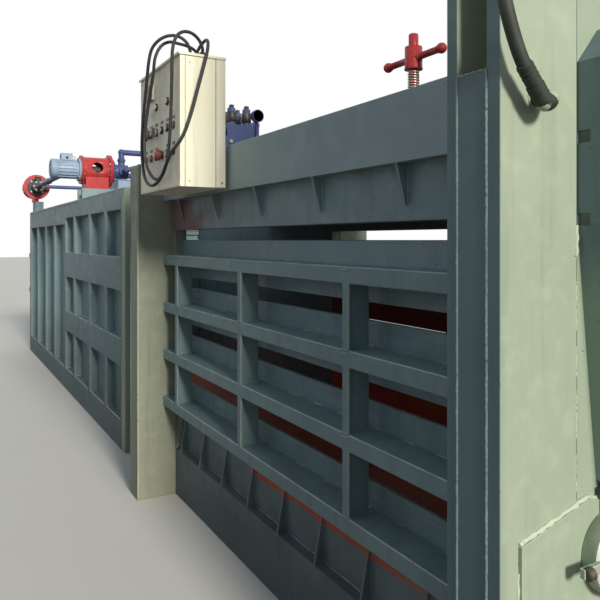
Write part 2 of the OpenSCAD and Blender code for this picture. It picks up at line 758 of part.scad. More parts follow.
// Pump sets: bell housing along Y from its motor side, motor and pump on its two ends
bell_body_d = bell_d - 70;
module bell_housing(foot_w) {
    difference() {
        union() {
            rod_y(0, 0, 22, 0, bell_d - 40);
            rod_y(0, bell_l - 30, bell_l, 0, bell_d);
            rod_y(0, 21, bell_l - 29, 0, bell_body_d);
            slab(-foot_w / 2, foot_w / 2, 40, bell_l - 40, pack_base_h - pump_h, -60);
        }
        rod_y(0, 25, bell_l - 25, 0, bell_body_d - 30);
        rod_y(0, -cut, bell_l + cut, 0, 90);
        rod_x(-bell_d, bell_d, bell_l / 2, 20, 110);
    }
}
module motor() {
    difference() {
        union() {
            rod_y(0, -motor_l, 0, 0, motor_d - 20);
            for (i = [0 : 17]) rotate([0, i * 20, 0]) slab(motor_d / 2 - 12, motor_d / 2 - 2,
                49 - motor_l, -40, -3, 3);
            rod_y(0, -22, 0, 0, motor_d + 40);
            rod_y(0, -motor_l, 50 - motor_l, 0, motor_d);
            slab(-55, 55, -190, -80, motor_d / 2 - 15, motor_d / 2 + 50);
        }
        rod_y(0, -70, cut, 0, shaft_d + 2 * run);
    }
}
module pump(s) {
    y0 = bell_l;
    rod_y(0, y0, y0 + 30, 0, pump_d + 90);
    rod_y(0, y0 + 29, y0 + pump_l, 0, pump_d);
    rod_z(0, y0 + pump_l - 60, 0, pump_d / 2 + 40, 70);
    rod_x(s < 0 ? -pump_d / 2 - 30 : 0, s < 0 ? 0 : pump_d / 2 + 30, y0 + pump_l - 60, 0, 90);
}
shaft_d = 42;
module coupling() {
    rod_y(0, -60, bell_l - 12, 0, shaft_d);
    rod_y(0, 70, 130, 0, 88);
    rod_y(0, 134, 200, 0, 88);
    for (i = [0 : 5]) rotate([0, i * 60, 0]) rod_y(30, 125, 140, 0, 14);
}
module front_set() {
    translate([pump_x, -bell_y, pump_z]) children();
}
module rear_set() {
    translate([rear_set_x, -rear_set_y, pump_z]) rotate([0, 0, -90]) translate([0, -bell_l, 0])
        children();
}

// Oil tank with its filter, level gauge and filler neck
tank_x = -4200;
tank_y = 60;
cap_x = tank_x + 250;
cap_y = tank_y + 150;
cap_r = 45;
module oil_tank() {
    x1 = tank_x + tank_l;
    y1 = tank_y + tank_w;
    color("slategray") difference() {
        union() {
            slab(tank_x, x1, tank_y, y1, deck_z, deck_z + tank_h);
            slab(tank_x - 15, x1 + 15, tank_y - 15, y1 + 10, deck_z + tank_h, deck_z + tank_h + 8);
            rod_z(cap_x, cap_y, deck_z + tank_h, deck_z + tank_h + 40, 2 * cap_r);
            rod_z(x1 - 250, tank_y + tank_w / 2, deck_z + tank_h, deck_z + tank_h + 150, 150);
            slab(x1, x1 + 18, tank_y + 120, tank_y + 160, deck_z + 90, deck_z + 270);
        }
        slab(tank_x + 6, x1 - 6, tank_y + 6, y1 - 6, deck_z + 6, deck_z + tank_h);
        rod_z(cap_x, cap_y, deck_z + tank_h - cut, deck_z + tank_h + 41, 2 * cap_r - 20);
    }
}
module filler_cap() {
    z = deck_z + tank_h + 40;
    color("black") {
        rod_z(cap_x, cap_y, z, z + 30, 2 * cap_r + 16);
        rod_z(cap_x, cap_y, z - 20, z + 1, 2 * cap_r - 20 - 2 * run);
        slab(cap_x - cap_r, cap_x + cap_r, cap_y - 6, cap_y + 6, z + 29, z + 44);
    }
}

// Valve block on the roof, behind the cabinet
valve_x = 640;
valve_z = roof_z + wall_t;
valve_w = 320;
valve_block_z = valve_z + 430;
bank_z = valve_block_z + 140;
bank_w = 80;
coil_z = bank_z + 100;
coil_h = 120;
coil_d = 60;
gauge_d = 90;
gauge_x = valve_x + valve_w / 2 - 30;
gauge_y = valve_w / 2 - 40;
gauge_z = coil_z + 70;
module valve_manifold() {
    color("slateblue") {
        for (s = [-1, 1]) {
            x = valve_x + s * (valve_w / 2 - 30);
            slab(x - 20, x + 20, 10 - valve_w / 2, valve_w / 2 - 10, valve_z, valve_block_z);
        }
        slab(valve_x - valve_w / 2, valve_x + valve_w / 2, -valve_w / 2, valve_w / 2, valve_block_z,
            bank_z);
        for (s = [-1, 1]) {
            x = valve_x + s * valve_w / 4;
            slab(x - bank_w / 2, x + bank_w / 2, -110, 110, bank_z, coil_z);
            for (y = [-60, 60]) rod_z(x, y, coil_z, coil_z + coil_h, coil_d);
        }
        rod_z(gauge_x, gauge_y, bank_z, gauge_z - 30, 24);
        rod_x(gauge_x - 12, gauge_x + 18, gauge_y, gauge_z, gauge_d);
    }
}

// Steel pipes from the pumps to the valve block, and the suction pipe to the tank
pipe_d = 60;
suction_d = 48;
module pipe(points, d) {
    for (i = [0 : len(points) - 2]) {
        v = points[i + 1] - points[i];
        translate(points[i]) rotate([0, acos(v[2] / norm(v)), atan2(v[1], v[0])])
            cylinder(h = norm(v), d = d);
        if (i > 0) translate(points[i]) sphere(d = d * 1.15);
    }
}
pump_out_y = -(pump_y - pump_l + 60);
trunk_y = 350;
trunk_rise = 210;
trunk_setback = 400;
trunk_z = pump_z + trunk_rise;
valve_side_x = valve_x - valve_w / 2;
valve_drop_x = valve_side_x - 200;
valve_port_z = valve_block_z + 70;
suction_z = deck_z + 60;
module pipework() {
    top_z = pump_z + pump_d / 2 + 40;
    rear_end_x = rear_set_x + pump_l;
    trunk_x = pump_x - trunk_setback;
    suction_x = pump_x + 200;
    tank_side_x = tank_x + tank_l;
    rear_port_x = rear_end_x - 60;
    color("midnightblue") {
        pipe([
            [pump_x, pump_out_y, top_z], [pump_x, pump_out_y, trunk_z], [pump_x, trunk_y, trunk_z]
        ], pipe_d);
        pipe([
            [rear_end_x, -rear_set_y, pump_z], [trunk_x, -rear_set_y, pump_z],
            [trunk_x, trunk_y, pump_z], [trunk_x, trunk_y, trunk_z],
            [valve_drop_x, trunk_y, trunk_z], [valve_drop_x, trunk_y, valve_port_z],
            [valve_drop_x, 0, valve_port_z], [valve_side_x, 0, valve_port_z]
        ], pipe_d);
    }
    color("silver") {
        pipe([
            [pump_x + pump_d / 2 + 30, pump_out_y, pump_z], [suction_x, pump_out_y, pump_z],
            [suction_x, 0, pump_z + 60], [suction_x, 0, suction_z],
            [tank_side_x + 200, 0, suction_z], [tank_side_x + 200, 160, suction_z],
            [tank_side_x, 160, suction_z]
        ], suction_d);
        pipe([
            [rear_port_x, pump_d / 2 + 30 - rear_set_y, pump_z], [rear_port_x, 200, pump_z],
            [rear_port_x, 200, suction_z], [tank_x, 200, suction_z]
        ], suction_d);
    }
}

// Control cabinet: shell, front panel with the controls, side door and its latch
cabinet_t = 3;
panel_y = cabinet_front_y - door_t;
hinge_x = cabinet_x - 4;
hinge_y = cabinet_back_y - 8;
hinge_places = [cabinet_z + 90, cabinet_z + cabinet_h - 130];
module cabinet_shell() {
    x0 = cabinet_x + door_t + door_gap;
    x1 = cabinet_x + cabinet_l;
    z1 = cabinet_z + cabinet_h;
    color("ivory") on_side(-1) {
        difference() {
            slab(x0, x1, cabinet_back_y, panel_y, cabinet_z, z1);
            slab(x0 - cut, x1 - cabinet_t, cabinet_back_y + cabinet_t, panel_y + cut,
                cabinet_z + cabinet_t, z1 - cabinet_t);
        }
        slab(cabinet_x - 6, x1 + 6, cabinet_back_y, cabinet_front_y + 8, z1, z1 + 8);
        for (x = [cabinet_x + 60, x1 - 100]) slab(x, x + 40, side_y, cabinet_back_y,
            cabinet_z + 20, girder_top_z - 20);
        for (p = cable_exits) rod_z(p[0], p[1], z1 + 7, z1 + 38, 30);
        for (z = hinge_places) {
            difference() {
                union() {
                    rod_z(hinge_x, hinge_y, z, z + 20, 16);
                    slab(hinge_x, x0 + 20, hinge_y - 2, cabinet_back_y, z, z + 20);
                }
                rod_z(hinge_x, hinge_y, z - cut, z + 21, 8 + 2 * run);
            }
        }
    }
}
module control_panel() {
    x0 = cabinet_x + door_t + door_gap;
    x1 = cabinet_x + cabinet_l;
    z1 = cabinet_z + cabinet_h;
    color("ivory") on_side(-1) difference() {
        slab(x0, x1, panel_y, cabinet_front_y, cabinet_z, z1);
        slab(x0 + cabinet_t, x1 - cabinet_t, panel_y - cut, cabinet_front_y - cabinet_t,
            cabinet_z + cabinet_t, z1 - cabinet_t);
        for (p = control_places) rod_y(p[0], cabinet_front_y - cabinet_t - cut,
            cabinet_front_y + cut, p[1], control_d + 2 * run);
    }
}
module cabinet_door() {
    z1 = cabinet_z + cabinet_h - 2;
    y0 = cabinet_back_y + 2;
    color("ivory") on_side(-1) difference() {
        union() {
            slab(cabinet_x, cabinet_x + door_t, y0, cabinet_front_y, cabinet_z, z1);
            for (z = hinge_places) {
                rod_z(hinge_x, hinge_y, z + 21, z + 41, 16);
                rod_z(hinge_x, hinge_y, z, z + 22, 8);
                slab(hinge_x, cabinet_x + 17, hinge_y - 2, y0 + 1, z + 21, z + 41);
            }
        }
        slab(cabinet_x + cabinet_t, cabinet_x + door_t + cut, y0 + cabinet_t,
            cabinet_front_y - cabinet_t, cabinet_z + cabinet_t, z1 - cabinet_t);
        rod_x(cabinet_x - cut, cabinet_x + cabinet_t + cut, latch_y, latch_z, 16 + 2 * run);
    }
}
latch_y = cabinet_front_y - 40;
latch_z = cabinet_z + cabinet_h / 2;
module door_latch() {
    color("black") on_side(-1) {
        rod_x(cabinet_x - 14, cabinet_x + 12, latch_y, latch_z, 16);
        rod_x(cabinet_x - 12, cabinet_x - 0.3, latch_y, latch_z, 36);
        slab(cabinet_x - 26, cabinet_x - 11, latch_y - 5, latch_y + 5, latch_z - 22, latch_z + 22);
    }
}

control_d = 22;
control_pitch = 88;
control_x = cabinet_x + 110;
upper_z = cabinet_z + 300;
lower_z = cabinet_z + 175;
control_places = [
    [control_x, upper_z], [control_x + control_pitch, upper_z], [control_x + 2 * control_pitch,
        upper_z],
    [control_x, lower_z], [control_x + control_pitch, lower_z], [control_x + 3 * control_pitch, lower_z]
];
module control_stem(i, y1) {
    rod_y(control_places[i][0], cabinet_front_y - 16, y1, control_places[i][1], control_d);
}
module selector(i) {
    x = control_places[i][0];
    z = control_places[i][1];
    color("black") on_side(-1) {
        control_stem(i, cabinet_front_y + 14);
        rod_y(x, cabinet_front_y + 0.3, cabinet_front_y + 10, z, 40);
        slab(x - 6, x + 6, cabinet_front_y + 9, cabinet_front_y + 28, z - 22, z + 22);
    }
}
button_travel = 5;
module push_button(i, c) {
    x = control_places[i][0];
    z = control_places[i][1];
    color(c) on_side(-1) {
        control_stem(i, cabinet_front_y + 12);
        rod_y(x, cabinet_front_y + button_travel + 1, cabinet_front_y + 12, z, 32);
    }
}
module emergency_stop() {
    x = control_places[5][0];
    z = control_places[5][1];
    color("crimson") on_side(-1) {
        control_stem(5, cabinet_front_y + 20);
        rod_y(x, cabinet_front_y + 12, cabinet_front_y + 34, z, 54);
    }
}
module panel_lamps() {
    z = upper_z + 130;
    color("gainsboro") on_side(-1) {
        for (i = [0, 2, 4]) rod_y(control_x + i * control_pitch, cabinet_front_y,
            cabinet_front_y + 14, z, 30);
        for (i = [3, 4]) rod_y(control_x + i * control_pitch, cabinet_front_y,
            cabinet_front_y + 14, upper_z, 30);
        for (i = [2, 4]) rod_y(control_x + i * control_pitch, cabinet_front_y,
            cabinet_front_y + 14, lower_z, 30);
        slab(control_x + 30, control_x + 130, cabinet_front_y, cabinet_front_y + 12, z + 50, z + 130);
    }
}

// Cords: a tube swept along points chosen by hand
function unit(v) = v / norm(v);
function tangent(p, i) = unit(p[min(i + 1, len(p) - 1)] - p[max(i - 1, 0)]);
function side_axis(t) = unit(cross(t, abs(t[2]) < 0.9 ? [0, 0, 1] : [0, 1, 0]));
function ring(c, t, d, n) = let (u = side_axis(t), v = cross(u, t))
    [for (k = [0 : n - 1]) c + d / 2 * (cos(k * 360 / n) * u + sin(k * 360 / n) * v)];
module cord(p, d, n) {
    m = len(p);
    rings = [for (i = [0 : m - 1]) each ring(p[i], tangent(p, i), d, n)];
    sides = [for (i = [0 : m - 2], k = [0 : n - 1])
        [i * n + k, i * n + (k + 1) % n, (i + 1) * n + (k + 1) % n, (i + 1) * n + k]];
    polyhedron(rings, concat(sides, [[for (k = [n - 1 : -1 : 0]) k],
        [for (k = [0 : n - 1]) (m - 1) * n + k]]));
}

// Hose from the elbow on the right column up to the top port of the gate cylinder
gate_hose_d = 32;
gate_hose_points = [
    [4052, -815, 1945], [4052, -843, 1977], [4050, -866, 2020], [4047, -889, 2083],
    [4043, -911, 2168], [4040, -928, 2260], [4040, -938, 2360], [4040, -942, 2480],
    [4040, -940, 2620], [4042, -932, 2780], [4045, -918, 2940], [4050, -895, 3100],
    [4056, -860, 3250], [4064, -805, 3390], [4072, -730, 3510], [4080, -635, 3610],
    [4086, -525, 3680], [4090, -410, 3720], [4090, -300, 3732], [4090, -190, 3730],
    [4090, -110, 3730]
];
module gate_hose() {
    color("darkolivegreen") cord(gate_hose_points, gate_hose_d, 10);
}

// Cables that leave the cabinet's top, hang over its front and go back to the girder
cable_d = 16;
cable_exits = [[1950, 830], [2040, 800]];
cable_entries = [[1580, 625], [1660, 625]];
cabinet_cable_points = [
    [1950, -830, 2512], [1950, -830, 2550], [1945, -848, 2592], [1930, -886, 2620],
    [1905, -930, 2622], [1878, -970, 2600], [1850, -996, 2560], [1825, -1004, 2500],
    [1790, -1004, 2410], [1740, -1000, 2310], [1690, -996, 2200], [1662, -992, 2090],
    [1672, -990, 1990], [1720, -990, 1915], [1800, -990, 1880], [1890, -990, 1878],
    [1980, -990, 1905], [2060, -990, 1960], [2120, -985, 2010], [2160, -962, 2055],
    [2172, -935, 2110], [2174, -905, 2200], [2174, -875, 2310], [2174, -845, 2420],
    [2168, -826, 2490], [2144, -812, 2540], [2095, -800, 2570], [2020, -788, 2580],
    [1920, -770, 2582], [1820, -745, 2580], [1730, -712, 2560], [1655, -672, 2500],
    [1605, -640, 2410], [1584, -627, 2300], [1580, -625, 2180], [1580, -625, 2092]
];
module cabinet_cable() {
    color("black") cord(cabinet_cable_points, cable_d, 8);
}
spare_cable_points = [
    [2040, -800, 2512], [2040, -800, 2545], [2044, -820, 2582], [2056, -860, 2604],
    [2074, -906, 2600], [2092, -944, 2574], [2106, -968, 2530], [2110, -978, 2470],
    [2100, -976, 2380], [2082, -972, 2290], [2066, -970, 2190], [2050, -970, 2090],
    [2018, -970, 1995], [1950, -970, 1925], [1860, -975, 1905], [1775, -985, 1945],
    [1725, -992, 2020], [1715, -994, 2120], [1738, -990, 2230], [1777, -984, 2340],
    [1815, -978, 2440], [1840, -976, 2520], [1850, -950, 2580], [1850, -905, 2610],
    [1840, -850, 2612], [1820, -795, 2612], [1790, -745, 2605], [1750, -695, 2570],
    [1705, -655, 2500], [1675, -632, 2400], [1662, -625, 2290], [1660, -625, 2180],
    [1660, -625, 2092]
];
module spare_cable() {
    color("black") cord(spare_cable_points, cable_d, 8);
}

base_frame();
chamber_floor();
color(primer) on_side(-1) wall_strips();  // right_wall_strips
color(primer) wall_strips();  // left_wall_strips
color(paint) on_side(-1) shelf_rails();  // right_shelf_rails
color(paint) shelf_rails();  // left_shelf_rails
color(paint) on_side(-1) {  // right_top_girder
    top_girder();
    for (p = cable_entries) rod_z(p[0], p[1], girder_top_z - 1, girder_top_z + 30, 30);
}
color(paint) top_girder();  // left_top_girder
roof_frame();
middle_frame();
color(paint) {  // right_portal_column
    on_side(-1) portal_column();
    hose_elbow();
}
color(paint) portal_column();  // left_portal_column
portal_crosshead();
feed_frame();
color(paint) on_side(-1) rear_panel();  // right_rear_panel
color(paint) rear_panel();  // left_rear_panel
color(paint) on_side(-1) box_wall();  // right_box_wall
color(paint) box_wall();  // left_box_wall
rear_deck();
rear_end_plate();
bulkhead();
fixed_shear_blade();
main_cylinder_barrel();
main_piston_rod();
ram_platen();
ram_top_cover();
ram_shear_blade();
gate();
gate_cylinder_rod();
gate_cylinder_barrel();
on_side(-1) gate_lock();  // right_gate_lock
gate_lock();  // left_gate_lock
pressure_plate();
tension_screw();
color("lightsteelblue") front_set() motor();  // front_motor
color("firebrick") front_set() bell_housing(220);  // front_bell_housing
color("midnightblue") front_set() pump(1);  // front_pump
color("dimgray") front_set() coupling();  // front_coupling
color("dimgray") rear_set() coupling();  // rear_coupling
color("lightsteelblue") rear_set() motor();  // rear_motor
color("firebrick") rear_set() bell_housing(60);  // rear_bell_housing
color("dimgray") rear_set() pump(-1);  // rear_pump
oil_tank();
filler_cap();
valve_manifold();
pipework();
cabinet_shell();
control_panel();
cabinet_door();
door_latch();
selector(0);  // selector_1
selector(1);  // selector_2
selector(2);  // selector_3
push_button(3, "green");  // start_button
push_button(4, "red");  // stop_button
emergency_stop();
panel_lamps();
gate_hose();
cabinet_cable();
spare_cable();
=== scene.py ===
"""Looks of the recycling baler: materials, welds, fasteners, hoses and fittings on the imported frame."""

import itertools
import json
import math
import random

import bpy
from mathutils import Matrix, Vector


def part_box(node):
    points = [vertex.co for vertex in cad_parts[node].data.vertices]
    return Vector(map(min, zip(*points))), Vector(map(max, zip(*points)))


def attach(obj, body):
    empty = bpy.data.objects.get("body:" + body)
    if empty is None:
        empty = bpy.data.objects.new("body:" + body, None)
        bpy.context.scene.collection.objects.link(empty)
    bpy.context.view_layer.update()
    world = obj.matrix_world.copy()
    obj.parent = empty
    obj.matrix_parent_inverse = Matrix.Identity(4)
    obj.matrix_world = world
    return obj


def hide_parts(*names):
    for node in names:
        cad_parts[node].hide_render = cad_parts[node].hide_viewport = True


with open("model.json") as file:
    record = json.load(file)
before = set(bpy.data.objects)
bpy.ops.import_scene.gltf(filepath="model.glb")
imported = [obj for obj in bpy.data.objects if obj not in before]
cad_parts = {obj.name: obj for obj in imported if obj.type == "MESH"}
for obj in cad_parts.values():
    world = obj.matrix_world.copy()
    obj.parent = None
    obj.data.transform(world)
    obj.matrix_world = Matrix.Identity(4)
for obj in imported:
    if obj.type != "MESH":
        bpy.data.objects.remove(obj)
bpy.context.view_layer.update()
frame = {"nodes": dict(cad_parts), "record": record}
random.seed(11)

ROOT = "machine"
X, Y, Z = Vector((1, 0, 0)), Vector((0, 1, 0)), Vector((0, 0, 1))

# Places of the frame that several pieces share, in metres
PORTAL_BACK_X = 3.831
PORTAL_FRONT_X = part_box("left_portal_column")[0].x + 0.169
PORTAL_INNER_Y = 0.6
FRAME_Y = 0.862
SIDE_Y = -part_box("right_shelf_rails")[0].y
MIDDLE_X0, MIDDLE_X1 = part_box("middle_frame")[0].x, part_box("middle_frame")[1].x
GIRDER_Z0, GIRDER_Z1 = 1.842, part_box("left_top_girder")[1].z
WALL_Y = 0.57
INNER_Y = 0.55
STRIP_PITCH = 0.293
FIRST_LEDGE_Z = 0.628
COLUMN_TOP_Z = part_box("portal_crosshead")[0].z
COVER_TOP_Z = 1.99
GUSSET_Y = 0.646
ROOF_WELD_Z = 1.771
SCREW_X = 2.68
GATE_CYLINDER_X = 4.09
LOCK_Y, LOCK_Z = 0.5, 0.83
MAIN_CYLINDER_Z = 1.125


def new_object(name, data):
    """An object of the data, linked to the scene."""
    made = bpy.data.objects.new(name, data)
    bpy.context.scene.collection.objects.link(made)
    return made


def aim(item, direction):
    """Turns a camera or a light to look along a direction."""
    item.rotation_mode = "QUATERNION"
    item.rotation_quaternion = Vector(direction).to_track_quat("-Z", "Y")


# Camera
def make_camera():
    data = bpy.data.cameras.new("photo_camera")
    data.sensor_width = 36
    data.lens = 38.4
    data.shift_y = -0.1
    data.clip_start = 0.05
    data.clip_end = 200
    camera = new_object("photo_camera", data)
    camera.location = (5.011, -1.96, 1.6)
    aim(camera, (-0.866, 0.5, 0))
    bpy.context.scene.camera = camera


make_camera()


# Node graphs for the materials and the world
class Nodes:
    def __init__(self, tree):
        self.tree = tree

    def fill(self, made, inputs):
        """Links or sets the inputs of a node; one that is given as None stays as it is."""
        for key, source in inputs.items():
            if hasattr(source, "is_linked"):
                self.tree.links.new(source, made.inputs[key])
            elif source is not None:
                made.inputs[key].default_value = source
        return made

    def node(self, kind, inputs=None, **values):
        """A new node with its settings made and its inputs filled."""
        made = self.tree.nodes.new("ShaderNode" + kind)
        for key, value in values.items():
            setattr(made, key, value)
        return self.fill(made, inputs or {})


class Graph(Nodes):
    """A material's nodes in front of its shader."""

    def __init__(self, name, base):
        self.colour = base
        self.material = bpy.data.materials.new(name)
        self.material.use_nodes = True
        super().__init__(self.material.node_tree)
        self.shader = self.tree.nodes["Principled BSDF"]
        self.place = self.node("TexCoord").outputs["Object"]

    def noise(self, scale, detail=3.0, stretch=(1, 1, 1), shift=0.0):
        location = (shift, shift * 0.7, shift * 1.3)
        mapping = self.node("Mapping", {"Vector": self.place, "Scale": stretch, "Location": location})
        inputs = {"Vector": mapping.outputs[0], "Scale": scale, "Detail": detail, "Roughness": 0.55}
        return self.node("TexNoise", inputs).outputs["Fac"]

    def span(self, value, low, high, start=0.0, end=1.0):
        """The value's range from low to high brought to start and end, without going past them."""
        inputs = {"Value": value, "From Min": low, "From Max": high, "To Min": start, "To Max": end}
        return self.node("MapRange", inputs, clamp=True).outputs["Result"]

    def math(self, operation, a, b=0.0):
        return self.node("Math", {0: a, 1: b}, operation=operation).outputs[0]

    def mix(self, share, a, b):
        return self.node("Mix", {0: share, 6: rgb(a), 7: rgb(b)}, data_type="RGBA").outputs[2]

    def axis(self, letter):
        return self.node("SeparateXYZ", {0: self.place}).outputs[letter]

    def depth(self):
        """The distance from the machine's middle plane."""
        return self.math("ABSOLUTE", self.axis("Y"))

    def bump(self, height, distance, strength=1.0, below=None):
        inputs = {"Height": height, "Distance": distance, "Strength": strength, "Normal": below}
        return self.node("Bump", inputs).outputs["Normal"]

    def cover(self, share, paint):
        """Lays a paint over the colour so far, as far as the share goes."""
        self.colour = self.mix(share, self.colour, paint)

    def finish(self, rough, normal, metallic=0.0):
        inputs = {"Base Color": self.colour, "Roughness": rough, "Normal": normal, "Metallic": metallic}
        self.fill(self.shader, inputs)
        return self.material


def rgb(colour):
    """An sRGB colour of three numbers from 0 to 255 as linear RGBA; anything else is passed on."""
    if not isinstance(colour, tuple) or len(colour) != 3:
        return colour
    shares = [c / 255 for c in colour]
    return tuple(((c + 0.055) / 1.055) ** 2.4 if c > 0.04 else c / 12.92 for c in shares) + (1.0,)


DUST = (172, 158, 136)
RUST = (112, 66, 44)
PRIMER = (126, 66, 52)
# Primer brightened as painted sunlight inside the chamber
SUNLIT_PRIMER = (222, 106, 74)
CHIP = (96, 78, 62)
# Colour of the painted shade low down
LOW_SHADE_COLOUR = (50, 52, 56)


def painted(name, base, faded, rough=0.5, wear=0.68, dust=0.5, extra=None, low_shade=0.0):
    """Enamel with faded patches, dirt runs, dust low down, painted shade that darkens towards the bottom,
    and chips; extra repaints a region.
    """
    g = Graph(name, base)
    g.cover(g.span(g.noise(0.9, 4), 0.36, 0.66), faded)
    runs = g.span(g.noise(5.0, 5, stretch=(3, 3, 0.22), shift=3), 0.52, 0.76, 0, 0.34)
    g.cover(runs, tuple(int(c * 0.66) for c in base))
    blotch = g.span(g.noise(14, 6, shift=9), 0.5, 0.7, 0, 0.18)
    g.cover(blotch, tuple(min(255, int(c * 1.2)) for c in faded))
    if extra:
        extra(g)
    low = g.span(g.axis("Z"), 0.0, 0.5, 1, 0)
    g.cover(g.math("MULTIPLY", low, g.span(g.noise(7, 5, shift=5), 0.34, 0.74, 0, dust)), DUST)
    # Painted shade: darker towards the bottom, with a ragged upper edge
    if low_shade:
        ragged_height = g.math("ADD", g.axis("Z"), g.span(g.noise(5, 5, shift=24), 0.3, 0.7, -0.12, 0.12))
        g.cover(g.span(ragged_height, 0.2, 0.85, low_shade, 0), LOW_SHADE_COLOUR)
    chips = g.span(g.noise(95, 6, shift=17), wear, wear + 0.015)
    g.cover(chips, CHIP)
    roughness = g.span(g.noise(11, 4, shift=2), 0.3, 0.7, rough - 0.07, rough + 0.13)
    waves = g.bump(g.noise(2.2, 2, shift=21), 0.004, 0.35)
    peel = g.bump(g.noise(210, 2, shift=1), 0.0006, 0.5, waves)
    g.shader.inputs["Specular IOR Level"].default_value = 0.32
    return g.finish(roughness, g.bump(chips, 0.0003, -0.5, peel))


def primer_and_painted_light_inside(g):
    """Walls lighter and bluer along the top strip as painted sky light, with primer on the chamber's side
    that is brighter low down as painted sunlight.
    """
    # Painted sky light along the top strip
    g.cover(g.span(g.axis("Z"), 1.49, 1.5, 0, 0.8), (146, 168, 174))
    g.cover(g.span(g.noise(7, 6, stretch=(0.3, 1, 2.6), shift=8), 0.5, 0.66, 0, 0.34), (152, 172, 178))
    # Primer brighter low down: painted sunlight inside the chamber
    primer = g.mix(g.span(g.axis("Z"), 0.62, 0.95), SUNLIT_PRIMER, PRIMER)
    g.cover(g.span(g.depth(), INNER_Y + 0.002, INNER_Y + 0.0005), primer)


def primer_under_rail(g):
    """A ragged run of bare primer on the base under the lowest rail."""
    rough = g.span(g.noise(9, 5, shift=6), 0.3, 0.7, -0.014, 0.014)
    band = g.span(g.math("ADD", g.axis("Z"), rough), 0.438, 0.446)
    length = g.math("MULTIPLY", g.span(g.axis("X"), 2.05, 2.2), g.span(g.axis("X"), 3.15, 3.6, 1, 0))
    face = g.span(g.depth(), 0.552, 0.558)
    g.cover(g.math("MULTIPLY", face, g.math("MULTIPLY", band, length)), (226, 108, 72))


def painted_shade_outside(g):
    """Painted shade: the columns' outer sides in a darker, bluer green."""
    shade = g.mix(g.span(g.noise(1.4, 4, shift=6), 0.35, 0.65), (84, 108, 116), (97, 122, 128))
    g.cover(g.span(g.depth(), FRAME_Y - 0.003, FRAME_Y - 0.001, 0, 0.9), shade)


def painted_sky_light_and_primer(g):
    """Painted sky light: a lighter, bluer outer side; and primer and overspray left bare under the cabinet.
    """
    # Painted sky light on the girder's shaded outer side
    g.cover(g.span(g.depth(), SIDE_Y - 0.003, SIDE_Y - 0.001, 0, 0.8), (154, 174, 178))
    edge = g.math("ADD", g.axis("X"), g.span(g.noise(4, 5, shift=14), 0.3, 0.7, -0.35, 0.35))
    patch = g.math("MULTIPLY", g.span(edge, 1.78, 1.52), g.span(g.axis("Z"), 1.846, 1.84))
    g.cover(g.math("MULTIPLY", patch, 0.8), (118, 84, 84))


def painted_sunlight_on_gate(g):
    """The gate's ribs paler low down as painted light, and its plate's front face in the sunlit green as
    painted sunlight.
    """
    g.cover(g.span(g.axis("Z"), 1.45, 1.6, 0.85, 0), (134, 156, 140))
    off_plate = g.math("ABSOLUTE", g.math("SUBTRACT", g.axis("X"), 3.998))
    g.cover(g.span(off_plate, 0.0005, 0.001, 1, 0), SUNLIT_GREEN)


def worn_edge(name, base, bare, share=0.5):
    """Plate edges where the paint is rubbed thin."""
    g = Graph(name, base)
    rubbed = g.span(g.noise(9, 6, shift=31), 0.62 - share * 0.3, 0.66)
    g.cover(rubbed, bare)
    g.cover(g.span(g.noise(60, 5, shift=8), 0.62, 0.66, 0, 0.7), RUST)
    return g.finish(g.span(rubbed, 0, 1, 0.45, 0.34), g.bump(g.noise(90, 3), 0.0008, 0.5))


def bare_steel(name, base, rough, stain, grain=(1, 1, 1)):
    g = Graph(name, base)
    g.cover(g.span(g.noise(6, 5, shift=4), 0.45, 0.75, 0, stain), (92, 78, 64))
    lines = g.noise(160, 3, stretch=grain, shift=6)
    roughness = g.span(lines, 0.3, 0.7, rough - 0.08, rough + 0.1)
    return g.finish(roughness, g.bump(lines, 0.0003, 0.35), 1.0)


def casting(name, base):
    g = Graph(name, base)
    g.cover(g.span(g.noise(9, 5, shift=3), 0.4, 0.7), tuple(int(c * 0.7 + 20) for c in base))
    g.cover(g.span(g.noise(30, 6, shift=12), 0.6, 0.66, 0, 0.6), DUST)
    return g.finish(0.6, g.bump(g.noise(120, 4), 0.0016, 0.6))


def plastic(name, base, rough=0.4):
    g = Graph(name, base)
    g.cover(g.span(g.noise(22, 4, shift=2), 0.45, 0.75, 0, 0.25), DUST)
    roughness = g.span(g.noise(40, 3), 0.3, 0.7, rough - 0.06, rough + 0.1)
    return g.finish(roughness, g.bump(g.noise(320, 2), 0.0003, 0.5))


def rubber(name, base):
    g = Graph(name, base)
    # Lighter patches: painted highlights on the rubber
    g.cover(g.span(g.noise(16, 5, shift=7), 0.42, 0.7), tuple(c + 20 for c in base))
    return g.finish(0.62, g.bump(g.noise(240, 3, stretch=(1, 1, 0.3)), 0.0006, 0.6))


def primer_floor(name):
    """Red-oxide plate, brightened as painted sunlight, rubbed to steel where the bale slides."""
    g = Graph(name, SUNLIT_PRIMER)
    g.cover(g.span(g.noise(3, 5, shift=4), 0.4, 0.7), (206, 96, 66))
    scored = g.span(g.noise(8, 5, stretch=(0.15, 6, 6), shift=2), 0.58, 0.72, 0, 0.6)
    g.cover(scored, (118, 108, 100))
    return g.finish(g.span(scored, 0, 0.8, 0.62, 0.38), g.bump(g.noise(50, 5), 0.0012, 0.5))
